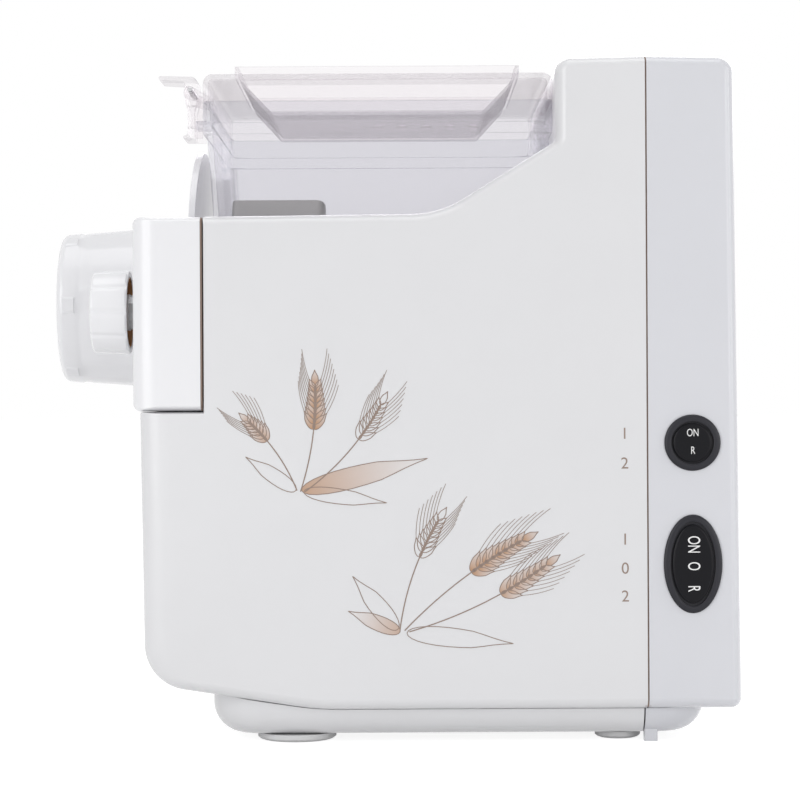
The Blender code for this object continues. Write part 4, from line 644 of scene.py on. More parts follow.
def build_front_panel():
    low = LEDGE_HEIGHT + FIT
    back = NOSE_X - PANEL_GAP
    corners = [
        (PANEL_X, low, PANEL_CORNER, 0.0025),
        (back, low, 0, None),
        (back, PANEL_TOP, 0, 0.0025),
        (PANEL_X, PANEL_TOP, PANEL_CORNER, FRONT_FILLET),
    ]
    made = case_shell("front_panel_skin", corners)
    thickness, half_width, height = CREST_SIZE
    foot = PANEL_TOP - CASE_WALL / 2
    crest = bmesh.new()
    bmesh.ops.create_circle(crest, cap_ends=True, radius=1, segments=96)
    bmesh.ops.bisect_plane(
        crest, geom=[*crest.verts, *crest.edges, *crest.faces], plane_co=(0, 0, 0), plane_no=(0, -1, 0), clear_outer=True
    )
    bmesh.ops.scale(crest, verts=crest.verts[:], vec=(half_width, height + CASE_WALL / 2, 1))
    turn = Matrix(((0, 0, 1), (1, 0, 0), (0, 1, 0)))
    bmesh.ops.transform(crest, verts=crest.verts[:], matrix=turn.to_4x4())
    bmesh.ops.translate(crest, verts=crest.verts[:], vec=(CREST_X, MIDDLE_Y, foot))
    extruded(crest, (thickness, 0, 0))
    for vert in crest.verts:
        vert.co.x += CREST_LEAN * (vert.co.z - foot) / height
    round_edges(crest, lambda a, b: abs(a.x - b.x) < thickness / 2 and min(a.z, b.z) > foot + 0.0001, 0.0012, 4)
    boolean(made, crest, "UNION")
    holes = [cylinder((PANEL_X, MIDDLE_Y, AXIS_HEIGHT), BARREL_RADIUS + FIT, "X", -0.02, 0.02)]
    for side in (-1, 1):
        center = (PANEL_X, MIDDLE_Y + side * STUD_SPACING / 2, STUD_HEIGHT)
        holes.append(cylinder(center, 0.0033, "X", -0.02, 0.02, 32))
    boolean(made, merged(holes))
    bevelled(made, LIP_FILLET, 2, angle_deg=50)
    dressed(made, panel_white, "front_panel", "front_panel")


def build_seam_shadow_strips():
    """Dark brown strips low in the seams: painted shade filling the gaps, where the seams lie in shadow."""
    outer = CASE_HALF - STRIP_INSET
    low = UNDERSIDE_HEIGHT + STRIP_INSET
    high = COLUMN_HEIGHT - STRIP_INSET
    ends = (SEAM_X + SEAM_LIPS[0] - 0.001, SEAM_X + SEAM_LIPS[1] + 0.001)
    # The frame in the seam between the shells is painted shade: a dark sheet where the gap is only in shadow.
    frame_like = box_mesh((ends[0], MIDDLE_Y - outer, low), (ends[1], MIDDLE_Y + outer, high), 0.004, "X")
    made = new_object("seam_shadow_strip", frame_like)
    inner = outer - STRIP_WALL
    hole_low = (SEAM_X - 0.01, MIDDLE_Y - inner, low + STRIP_WALL)
    hole_high = (SEAM_X + 0.01, MIDDLE_Y + inner, high - STRIP_WALL)
    boolean(made, box_mesh(hole_low, hole_high, 0.003, "X"))
    dressed(made, painted_seam_shade_brown, "root")
    outer = CASE_HALF - LIP_FILLET
    # The strip in the front panel's seam is painted shade as well.
    nose = box_mesh(
        (NOSE_X - PANEL_GAP + 0.00004, MIDDLE_Y - outer, LEDGE_HEIGHT + LIP_FILLET),
        (NOSE_X - 0.00004, MIDDLE_Y + outer, PANEL_TOP - LIP_FILLET),
        0.004,
        "X",
    )
    made = new_object("panel_seam_shadow_strip", nose)
    boolean(made, cylinder((NOSE_X, MIDDLE_Y, AXIS_HEIGHT), BARREL_RADIUS + 0.006, "X", -0.02, 0.02))
    dressed(made, painted_seam_shade_brown, "root")


def build_plinths():
    top = UNDERSIDE_HEIGHT + 0.012
    shapes = {
        "base_plinth": (PLINTH_FRONT_X, SEAM_X - FIT, (PLINTH_CORNER, 0, 0, PLINTH_CORNER)),
        "rear_plinth": (SEAM_X + FIT, PLINTH_REAR_X, (0, PLINTH_CORNER, PLINTH_CORNER, 0)),
    }
    for name, (front, rear, radii) in shapes.items():
        near, far = MIDDLE_Y - PLINTH_HALF, MIDDLE_Y + PLINTH_HALF
        plan = [(front, near), (rear, near), (rear, far), (front, far)]
        bm = round_corners(face_from([(x, y, STAND_HEIGHT) for x, y in plan]), radii, 12)
        extruded(bm, (0, 0, top - STAND_HEIGHT))
        seam = rear if name == "base_plinth" else front
        drop_faces(bm, lambda face: abs(face.calc_center_median().x - seam) < 1e-5 or face.normal.z > 0.9)
        flat = STAND_HEIGHT + 1e-6
        edges = [e for e in bm.edges if max(v.co.z for v in e.verts) < flat and not e.is_boundary]
        bmesh.ops.bevel(
            bm, geom=edges, offset=PLINTH_FILLET, segments=8, profile=0.5, affect="EDGES", material=-1
        )
        made = settle(walled(new_object(name + "_skin", bm), CASE_WALL))
        if name == "rear_plinth":
            length, width, height = LUG_SIZE
            for side in (-1, 1):
                middle = MIDDLE_Y + side * (PLINTH_HALF - PLINTH_FILLET / 2 - width / 2)
                lug = box_mesh((seam, middle - width / 2, 0), (seam + length, middle + width / 2, height), 0.001)
                boolean(made, lug, "UNION")
        bottom = [
            (FRONT_X - 0.01, UNDERSIDE_HEIGHT + NOSE_RISE + 0.0012 - FIT, 0),
            (FRONT_X + NOSE_RISE_LENGTH, UNDERSIDE_HEIGHT - FIT, 0.120),
            (REAR_X, UNDERSIDE_HEIGHT - FIT, 0),
            (REAR_X, LEDGE_HEIGHT, 0),
            (FRONT_X - 0.01, LEDGE_HEIGHT, 0),
        ]
        boolean(made, across(bottom, CASE_HALF))
        if name == "base_plinth":
            length, width = VENT_SIZE
            slots = []
            for index in range(VENT_COUNT):
                place = SEAM_X - 0.085 + index * VENT_PITCH
                low = (place - width / 2, MIDDLE_Y - length / 2, 0)
                slots.append(box_mesh(low, (place + width / 2, MIDDLE_Y + length / 2, 0.01), width * 0.45))
            boolean(made, merged(slots))
        bevelled(made, LIP_FILLET, 2, angle_deg=50)
        dressed(made, white if name == "base_plinth" else off_white, "root", name)


def build_feet():
    for end, (x, radius) in FEET.items():
        for side, y in (("left", -1), ("right", 1)):
            top = STAND_HEIGHT - FIT
            profile = [
                (0, radius * 0.6),
                (0, radius - 0.0022),
                (0.0004, radius - 0.0010),
                (0.0012, radius),
                (top, radius),
                (top, 0.002),
            ]
            center = (x, MIDDLE_Y + y * FOOT_SPACING / 2, 0)
            made = new_object(f"{end}_foot_{side}", turned(profile, center, "Z", 64))
            dressed(made, rubber, "root", f"foot_{end}_{side}")


def trough_solid(wall):
    """The bowl's trough, its ends rounded, its front leaning out above the deck, inset by a wall."""
    bottom = AXIS_HEIGHT - BOWL_RADIUS
    share = (DECK_HEIGHT - bottom) / (RIM_HEIGHT - bottom)
    deck_half = BOWL_RADIUS + (RIM_HALF - BOWL_RADIUS) * share - wall
    radius = BOWL_RADIUS - wall
    over = 0.01 if wall else 0
    over_half = RIM_HALF - wall + (RIM_HALF - BOWL_RADIUS) * over / (RIM_HEIGHT - bottom)
    front, rear = BOWL_FRONT_X + wall, BOWL_REAR_X - wall
    corners = [
        (-radius, bottom + wall, radius),
        (radius, bottom + wall, radius),
        (deck_half, DECK_HEIGHT, 0),
        (over_half, RIM_HEIGHT + over, 0),
        (-over_half, RIM_HEIGHT + over, 0),
        (-deck_half, DECK_HEIGHT, 0),
    ]
    bm = face_from([(front, MIDDLE_Y + y, z) for y, z, r in corners])
    round_corners(bm, [r for y, z, r in corners], 24)
    extruded(bm, (rear - front, 0, 0))
    top = RIM_HEIGHT + over - 1e-6
    round_edges(bm, lambda a, b: abs(a.x - b.x) < 1e-7 and min(a.z, b.z) < top, BOWL_CORNER - wall, 8)
    bmesh.ops.bisect_plane(
        bm, geom=[*bm.verts, *bm.edges, *bm.faces], dist=1e-6, plane_co=(0, 0, DECK_HEIGHT), plane_no=(0, 0, 1)
    )
    for vert in bm.verts:
        rise = (vert.co.z - DECK_HEIGHT) / (RIM_HEIGHT - DECK_HEIGHT)
        if rise > 0 and vert.co.x < 0:
            vert.co.x -= BOWL_FLARE * rise
    return bm


def build_bowl():
    made = new_object("clear_bowl", trough_solid(0))
    band = box_mesh(
        (LID_FRONT_X, MIDDLE_Y - LID_HALF, RIM_HEIGHT - RIM_BAND), (LID_REAR_X, MIDDLE_Y + LID_HALF, RIM_HEIGHT), 0.0045
    )
    boolean(made, band, "UNION")
    length, half, height = CATCH_SIZE
    catch_low = (LID_FRONT_X - length, MIDDLE_Y - half, RIM_HEIGHT - height)
    boolean(made, box_mesh(catch_low, (LID_FRONT_X + BOWL_WALL, MIDDLE_Y + half, RIM_HEIGHT), 0.001), "UNION")
    boolean(made, trough_solid(BOWL_WALL))
    ledge = BOWL_WALL + RIM_FLANGE - RIM_LEDGE_WIDTH
    low = (LID_FRONT_X + ledge, MIDDLE_Y - LID_HALF + ledge, RIM_HEIGHT - RIM_LEDGE_DROP)
    high = (LID_REAR_X - ledge, MIDDLE_Y + LID_HALF - ledge, RIM_HEIGHT + 0.01)
    boolean(made, box_mesh(low, high, 0.0035))
    holes = [
        cylinder((BOWL_FRONT_X, MIDDLE_Y, AXIS_HEIGHT), 0.023, "X", -0.01, 0.01),
        cylinder((BOWL_REAR_X, MIDDLE_Y, AXIS_HEIGHT), 0.0128, "X", -0.01, 0.01),
    ]
    boolean(made, merged(holes))
    bevelled(made, 0.0004, 2, angle_deg=40)
    dressed(made, clear_bowl, "root", "mixing_bowl")


def build_lid():
    def shell(wall):
        corner = LID_CORNER - wall
        low = (LID_FRONT_X + wall, MIDDLE_Y - LID_HALF + wall, LID_BOTTOM - (0.01 if wall else 0))
        bm = box_mesh(low, (LID_REAR_X - wall, MIDDLE_Y + LID_HALF - wall, LID_TOP - wall), corner)
        return round_edges(bm, lambda a, b: min(a.z, b.z) > LID_TOP - wall - 1e-6, corner, 5)

    def sunk(wall, over):
        return across(
            [
                (TROUGH_FRONT_X + TROUGH_SLANT + wall / 2, TROUGH_FLOOR + wall, 0),
                (TROUGH_REAR_X - TROUGH_SLANT - wall / 2, TROUGH_FLOOR + wall, 0),
                (TROUGH_REAR_X - wall, TROUGH_TOP - 0.005, 0),
                (TROUGH_REAR_X - wall, TROUGH_TOP + over, 0),
                (TROUGH_FRONT_X + wall, TROUGH_TOP + over, 0),
                (TROUGH_FRONT_X + wall, TROUGH_TOP - 0.005, 0),
            ],
            TROUGH_HALF - wall,
        )

    made = new_object("clear_lid", shell(0))
    boolean(made, shell(LID_WALL))
    boolean(made, sunk(0, 0), "UNION")
    ears = []
    for side in (-1, 1):
        ear = [
            (PIN_X - 0.003, PIN_HEIGHT - 0.00375, 0.003),
            (LID_FRONT_X + LID_WALL / 2, PIN_HEIGHT - 0.0075, 0),
            (LID_FRONT_X + LID_WALL / 2, LID_TOP - LID_CORNER, 0),
            (PIN_X - 0.003, PIN_HEIGHT + 0.00375, 0.003),
        ]
        middle = MIDDLE_Y + side * (LATCH_HALF + FIT + 0.0015)
        ears.append(prism(ear, middle - 0.0015, middle + 0.0015))
    boolean(made, merged(ears), "UNION")
    boolean(made, sunk(0.0016, 0.01))
    holes = []
    for index in range(HOLE_COUNT):
        place = (LID_FIRST_HOLE_X + index * HOLE_PITCH, MIDDLE_Y, TROUGH_FLOOR)
        holes.append(cylinder(place, HOLE_RADIUS, "Z", -0.01, 0.01, 32))
    holes.append(cylinder((PIN_X, MIDDLE_Y, PIN_HEIGHT), PIN_RADIUS + FIT, "Y", -0.04, 0.04, 24))
    boolean(made, merged(holes))
    made.modifiers.new("triangles", "TRIANGULATE")
    bevelled(made, 0.0004, 2, angle_deg=40)
    dressed(made, clear_lid, "lid", "lid")
    pin = new_object("hinge_pin", cylinder((PIN_X, MIDDLE_Y, PIN_HEIGHT), PIN_RADIUS, "Y", -0.0163, 0.0163, 32))
    bevelled(pin, 0.0003, 2)
    dressed(pin, steel, "lid", "latch_pin")


def build_latch():
    back, front = PIN_X + 0.0015, PIN_X - 0.0015
    low = PIN_HEIGHT - 0.0222
    tab_top = PIN_HEIGHT + 0.0063
    tab_low = tab_top - 0.0020
    reach = 0.003
    outline = [
        (front - 0.002, low, 0),
        (back, low, 0),
        (back, PIN_HEIGHT - 0.0094, 0.002),
        (PIN_X + reach, PIN_HEIGHT - reach, 0.002),
        (PIN_X + reach, tab_top, reach),
        (PIN_X - 0.0148, tab_top + 0.0004, 0.0006),
        (PIN_X - 0.0148, tab_low + 0.0008, 0.0006),
        (PIN_X - reach, tab_low, 0.001),
        (PIN_X - reach, PIN_HEIGHT - reach, 0.001),
        (front, PIN_HEIGHT - 0.0094, 0.002),
        (front, low + 0.002, 0.0004),
        (front - 0.002, low + 0.001, 0.0004),
    ]
    made = new_object("clear_latch", across(outline, LATCH_HALF, 5))
    webs = []
    for side in (-1, 1):
        inner, outer = sorted((side * (LATCH_HALF - 0.002), side * LATCH_HALF))
        webs.append(box_mesh((PIN_X, MIDDLE_Y + inner, low), (back + 0.004, MIDDLE_Y + outer, PIN_HEIGHT - reach)))
    boolean(made, merged(webs), "UNION")
    window_top = PIN_HEIGHT - reach * 2
    cuts = [
        cylinder((PIN_X, MIDDLE_Y, PIN_HEIGHT), PIN_RADIUS + FIT, "Y", -0.03, 0.03, 24),
        box_mesh(
            (front - 0.01, MIDDLE_Y - 0.005, window_top - 0.010), (back + 0.01, MIDDLE_Y + 0.005, window_top), 0.001, "X"
        ),
    ]
    boolean(made, merged(cuts))
    bevelled(made, 0.00035, 2, angle_deg=40)
    dressed(made, clear_lid, "lid_latch", "lid_latch")


def build_die_nut():
    center = (0, MIDDLE_Y, AXIS_HEIGHT)
    cap = NUT_FRONT_X + NUT_CAP_LENGTH
    taper = (NUT_REAR_RADIUS - NUT_FRONT_RADIUS) / (NUT_REAR_X - NUT_FRONT_X - NUT_EDGE)
    cap_radius = NUT_FRONT_RADIUS + taper * (NUT_CAP_LENGTH - NUT_EDGE)
    outside = [(NUT_FRONT_X, 0.0222), (NUT_FRONT_X, NUT_FRONT_RADIUS - NUT_EDGE)]
    for step in range(1, 7):
        turn = math.pi / 2 * step / 6
        outside.append(
            (NUT_FRONT_X + NUT_EDGE * (1 - math.cos(turn)), NUT_FRONT_RADIUS - NUT_EDGE * (1 - math.sin(turn)))
        )
    outside += [(cap - 0.0008, cap_radius), (cap + 0.0004, cap_radius - 0.0003), (cap + 0.0022, cap_radius - 0.0002)]
    steps = 12
    for step in range(1, steps):
        share = step / steps
        place = cap + 0.0022 + (NUT_REAR_X - 0.0012 - cap - 0.0022) * share
        outside.append((place, cap_radius + (NUT_REAR_RADIUS - cap_radius) * share))
    outside += [(NUT_REAR_X - 0.0012, NUT_REAR_RADIUS), (NUT_REAR_X, NUT_REAR_RADIUS - 0.0012)]
    bore = BARREL_RADIUS + FIT
    lip = NUT_FRONT_X + NUT_LIP
    inside = [(NUT_REAR_X, bore), (lip, bore), (lip, 0.021), (NUT_FRONT_X + 0.0006, 0.021)]
    bm = turned(outside + inside, center, "X", 240, closed=True)
    for vert in bm.verts:
        offset = Vector((0, vert.co.y - MIDDLE_Y, vert.co.z - AXIS_HEIGHT))
        if vert.co.x > cap + 0.001 and offset.length > bore + 0.003:
            angle = math.atan2(offset.z, -offset.y)
            wave = max(0.0, math.cos(NUT_LOBES * angle)) ** 2
            vert.co -= offset.normalized() * NUT_LOBE_DEPTH * wave * min(1.0, (vert.co.x - cap) / 0.004)
    made = new_object("knurled_die_nut", bm)
    ribs = []
    for index in range(NUT_LOBES):
        rib = box_mesh(
            (NUT_FRONT_X + 0.0028, -0.0045, bore + 0.001), (cap - 0.0008, 0.0045, cap_radius + 0.0003), 0.0022, "X"
        )
        round_edges(rib, lambda a, b: min(a.z, b.z) > cap_radius and abs(a.x - b.x) < 1e-6, 0.0006, 3)
        turn = Matrix.Rotation(math.tau * index / NUT_LOBES + math.pi / 2, 3, "X")
        bmesh.ops.rotate(rib, verts=rib.verts[:], cent=(0, 0, 0), matrix=turn)
        bmesh.ops.translate(rib, verts=rib.verts[:], vec=center)
        ribs.append(rib)
    boolean(made, merged(ribs), "UNION")
    dressed(made, panel_white, "die_nut", "die_nut", smooth_deg=40)


def build_extruder():
    center = (0, MIDDLE_Y, AXIS_HEIGHT)
    barrel_front = DIE_X + 0.0043
    flange = NOSE_X - FIT
    profile = [
        (barrel_front, BARREL_RADIUS - 0.0004),
        (barrel_front + 0.0004, BARREL_RADIUS),
        (flange - 0.004, BARREL_RADIUS),
        (flange - 0.004, 0.0325),
        (flange, 0.0325),
        (flange, BARREL_RADIUS),
        (BOWL_FRONT_X - FIT, BARREL_RADIUS),
        (BOWL_FRONT_X - FIT, 0.023),
        (barrel_front, 0.023),
    ]
    made = new_object("turned_barrel", turned(profile, center, "X", 128, closed=True))
    dressed(made, aluminium, "root", "extrusion_barrel", smooth_deg=30)
    die = new_object("drilled_die", cylinder((DIE_X, MIDDLE_Y, AXIS_HEIGHT), BARREL_RADIUS, "X", 0, 0.004, 96))
    holes = []
    for count, ring in DIE_RINGS:
        for index in range(count):
            turn = math.tau * index / count
            place = (DIE_X, MIDDLE_Y + ring * math.cos(turn), AXIS_HEIGHT + ring * math.sin(turn))
            holes.append(cylinder(place, DIE_HOLE_RADIUS, "X", -0.01, 0.01, 24))
    boolean(die, merged(holes))
    bevelled(die, 0.00025, 2)
    dressed(die, brass, "noodle_die", "noodle_die")


def build_auger():
    """The screw with its helical flight, drawn round and along the shaft."""
    center = Vector((0, MIDDLE_Y, AXIS_HEIGHT))
    start = SCREW_TIP_X + SHAFT_EDGE
    core_end = start + SCREW_PITCH * SCREW_TURNS + FLIGHT_THICKNESS + SHAFT_EDGE
    profile = [
        (SCREW_TIP_X - SHAFT_EDGE, 0),
        (SCREW_TIP_X - SHAFT_EDGE, CORE_RADIUS / 2),
        (start, CORE_RADIUS),
        (core_end, CORE_RADIUS),
        (core_end + SHAFT_EDGE, SHAFT_RADIUS),
        (SHAFT_REAR_X, SHAFT_RADIUS),
        (SHAFT_REAR_X, 0),
    ]
    core = turned(profile, center, "X", 64)
    flight = bmesh.new()
    steps = SCREW_TURNS * SCREW_STEPS
    rounding = 0.0006
    corners = [
        (0, SHAFT_RADIUS),
        (rounding / 3, SCREW_RADIUS - rounding),
        (rounding * 4 / 3, SCREW_RADIUS),
        (FLIGHT_THICKNESS - rounding * 4 / 3, SCREW_RADIUS),
        (FLIGHT_THICKNESS - rounding / 3, SCREW_RADIUS - rounding),
        (FLIGHT_THICKNESS, SHAFT_RADIUS),
    ]
    verts = [flight.verts.new(center + Vector((start + x, 0, radius))) for x, radius in corners]
    edges = [flight.edges.new(pair) for pair in zip(verts, verts[1:] + verts[:1])]
    bmesh.ops.spin(
        flight,
        geom=verts + edges,
        cent=center,
        axis=AXES["X"],
        dvec=(SCREW_PITCH / SCREW_STEPS, 0, 0),
        angle=math.tau * SCREW_TURNS,
        steps=steps,
    )
    bmesh.ops.holes_fill(flight, edges=[edge for edge in flight.edges if edge.is_boundary])
    bmesh.ops.recalc_face_normals(flight, faces=flight.faces[:])
    made = new_object("screw", merged([core, flight]))
    dressed(made, steel, "auger", "auger_screw", smooth_deg=40)
    return core_end


def build_paddles(core_end):
    hub = core_end + SHAFT_EDGE + FIT
    hub_end = hub + PADDLE_HUB_LENGTH
    center = (0, MIDDLE_Y, AXIS_HEIGHT)
    bore = SHAFT_RADIUS + FIT
    profile = [
        (hub, bore),
        (hub, PADDLE_HUB_RADIUS - SHAFT_EDGE),
        (hub + SHAFT_EDGE, PADDLE_HUB_RADIUS),
        (hub_end - SHAFT_EDGE, PADDLE_HUB_RADIUS),
        (hub_end, PADDLE_HUB_RADIUS - SHAFT_EDGE),
        (hub_end, bore),
    ]
    made = new_object("paddles", turned(profile, center, "X", 64, closed=True))
    foot = PADDLE_HUB_RADIUS - SHAFT_EDGE * 2
    for edge, direction, angle in zip((hub, hub_end), (-1, 1), PADDLE_ANGLES_DEG):
        arm_inner = edge - direction * PADDLE_ARM
        bar_end = edge + direction * PADDLE_BAR_LENGTH
        shape = [
            (arm_inner, foot),
            (arm_inner, PADDLE_REACH),
            (bar_end, PADDLE_REACH),
            (bar_end, PADDLE_REACH - PADDLE_BAR),
            (edge, PADDLE_REACH - PADDLE_BAR),
            (edge, foot),
        ]
        bm = face_from([(x, -PADDLE_ARM / 2, z) for x, z in shape])
        round_corners(bm, [0, 0.004, 0.0015, 0.0015, 0.003, 0], 5)
        extruded(bm, (0, PADDLE_ARM, 0))
        round_edges(bm, lambda a, b: abs(a.y - b.y) < 1e-7 and min(a.z, b.z) > 0.02, 0.001, 3)
        turn = Matrix.Rotation(math.radians(angle - 90), 3, "X")
        bmesh.ops.rotate(bm, verts=bm.verts[:], cent=(0, 0, 0), matrix=turn)
        bmesh.ops.translate(bm, verts=bm.verts[:], vec=center)
        boolean(made, bm, "UNION")
    dressed(made, paddle_grey, "auger", "mixing_paddles", smooth_deg=40)


def build_hand_nuts():
    for name, side in (("left", -1), ("right", 1)):
        center = (HAND_NUT_REAR_X, MIDDLE_Y + side * STUD_SPACING / 2, STUD_HEIGHT)
        front = -HAND_NUT_LENGTH
        radius = HAND_NUT_RADIUS
        profile = [(front, 0), (front, radius - 0.0022)]
        for step in range(1, 6):
            turn = math.pi / 2 * step / 5
            profile.append((front + 0.0014 * (1 - math.cos(turn)), radius - 0.0008 - 0.0014 * (1 - math.sin(turn))))
        profile += [(front + share * HAND_NUT_LENGTH, radius - 0.0008 * (1 - share)) for share in (0.3, 0.5, 0.7)]
        profile += [(-0.0008, radius), (0, radius - 0.0006), (0, radius - 0.003), (-0.006, radius - 0.003)]
        profile += [(-0.006, 0.008), (0, 0.008), (0, 0.0033), (front + 0.003, 0.0033), (front + 0.003, 0)]
        bm = turned(profile, center, "X", 240)
        for vert in bm.verts:
            offset = Vector((0, vert.co.y - center[1], vert.co.z - center[2]))
            if offset.length > radius - 0.0022 and vert.co.x < center[0] - 0.0002:
                angle = math.atan2(offset.z, offset.y)
                wave = max(0.0, math.cos(HAND_NUT_FLUTES * angle)) ** 6
                vert.co -= offset.normalized() * FLUTE_DEPTH * wave
        made = new_object("fluted_nut_" + name, bm)
        dressed(made, panel_white, "hand_nut_" + name, "hand_nut_" + name, smooth_deg=40)
        liner = radius - 0.003 - FIT
        ring = [(-0.0002, liner), (-0.0056, liner), (-0.0056, liner - 0.0004), (-0.0002, liner - 0.0004)]
        insert = new_object("nut_liner_" + name, turned(ring, center, "X", 96, closed=True))
        dressed(insert, tan, "hand_nut_" + name, smooth_deg=30)


def oval(profile, size, center, steps=128):
    """A turned piece on the near side, stretched to an oval. Its profile is (depth outwards, inset from the edge)."""
    bm = bmesh.new()
    verts = [bm.verts.new((0, -depth, 1.0)) for depth, inset in profile]
    edges = [bm.edges.new(pair) for pair in zip(verts, verts[1:])]
    bmesh.ops.spin(
        bm, geom=verts + edges, cent=(0, 0, 0), axis=AXES["Y"], dvec=(0, 0, 0), angle=math.tau, steps=steps, use_merge=True
    )
    insets = {round(-depth, 7): inset for depth, inset in profile}
    for vert in bm.verts:
        inset = insets[min(insets, key=lambda depth: abs(depth - vert.co.y))]
        turn = math.atan2(vert.co.z, vert.co.x)
        vert.co.x = (size[0] - inset) * math.cos(turn)
        vert.co.z = (size[1] - inset) * math.sin(turn)
    bmesh.ops.remove_doubles(bm, verts=bm.verts[:], dist=1e-7)
    bmesh.ops.holes_fill(bm, edges=[edge for edge in bm.edges if edge.is_boundary])
    bmesh.ops.recalc_face_normals(bm, faces=bm.faces[:])
    bmesh.ops.translate(bm, verts=bm.verts[:], vec=center)
    return bm


def lettering(name, words, size, place, turn_deg, material, body, depth=0.00006, narrow=1.0):
    """Plain marks on the near side, each (text, height), one below another or turned on their side."""
    pieces = []
    for text, height in words:
        curve = bpy.data.curves.new("mark", "FONT")
        curve.body = text
        curve.size = size
        curve.align_x = "CENTER"
        curve.align_y = "CENTER"
        curve.extrude = depth
        mark = bpy.data.objects.new("mark", curve)
        bpy.context.scene.collection.objects.link(mark)
        settle_mesh = bpy.data.meshes.new_from_object(mark)
        bpy.data.objects.remove(mark)
        bm = bmesh.new()
        bm.from_mesh(settle_mesh)
        bmesh.ops.scale(bm, verts=bm.verts[:], vec=(narrow, 1, 1))
        bmesh.ops.rotate(bm, verts=bm.verts[:], cent=(0, 0, 0), matrix=Matrix.Rotation(math.radians(turn_deg), 3, "Z"))
        bmesh.ops.rotate(bm, verts=bm.verts[:], cent=(0, 0, 0), matrix=Matrix.Rotation(math.pi / 2, 3, "X"))
        bmesh.ops.translate(bm, verts=bm.verts[:], vec=(place[0], place[1], height))
        pieces.append(bm)
    dressed(new_object(name, merged(pieces)), material, body, smooth_deg=20)


def build_switches():
    shapes = {
        "selector": (ROUND_HEIGHT, ROUND_BEZEL, ROUND_ROCKER),
        "power": (OVAL_HEIGHT, OVAL_BEZEL, OVAL_ROCKER),
    }
    for name, (height, bezel, rocker) in shapes.items():
        center = (SWITCH_X, SIDE_Y, height)
        ring = bezel[0] - rocker[0]
        well = ring - ROCKER_GAP
        profile = [
            (0.00001, 0.0001),
            (0.0006, 0),
            (BEZEL_STAND - 0.0003, 0.0005),
            (BEZEL_STAND, 0.0011),
            (BEZEL_STAND + 0.00005, well - 0.0008),
            (BEZEL_STAND - 0.0002, well - 0.0003),
            (-0.004, well),
        ]
        made = new_object(name + "_ring", oval(profile, bezel, center))
        dressed(made, charcoal, "root", name + "_bezel", smooth_deg=40)
        cap = [
            (-0.0035, 0),
            (BEZEL_STAND - 0.0002, 0.00001),
            (BEZEL_STAND + 0.0003, 0.0002),
            (BEZEL_STAND + 0.0006, 0.0008),
            (BEZEL_STAND + 0.00065, 0.0013),
        ]
        made = new_object(name + "_cap", oval(cap, rocker, center))
        dressed(made, black, name + "_rocker", name + "_rocker", smooth_deg=40)
    face = SIDE_Y - BEZEL_STAND - 0.00075
    lettering(
        "selector_marks",
        [("ON", 0.1344), ("R", 0.1268)],
        0.0046,
        (SWITCH_X, face),
        0,
        mark_white,
        "selector_rocker",
        narrow=0.72,
    )
    lettering(
        "power_marks",
        [("ON", 0.0865), ("O", 0.0772), ("R", 0.0676)],
        0.0076,
        (SWITCH_X, face),
        -90,
        mark_white,
        "power_rocker",
        narrow=0.62,
    )
    lettering(
        "position_numbers",
        [("1", 0.1341), ("2", 0.1213), ("1", 0.0886), ("0", 0.0761), ("2", 0.0641)],
        0.0070,
        (0.1030, SIDE_Y - 0.00002),
        0,
        brown_ink,
        "root",
        0.00003,
    )


def curved_path(base, heading_deg, length, bend_deg, steps=20):
    """Points of a line that turns evenly on its way, with its heading at each."""
    place, points = Vector(base), []
    for step in range(steps + 1):
        heading = math.radians(heading_deg + bend_deg * step / steps)
        points.append((place.copy(), heading))
        place = place + Vector((math.cos(heading), math.sin(heading))) * length / steps
    return points


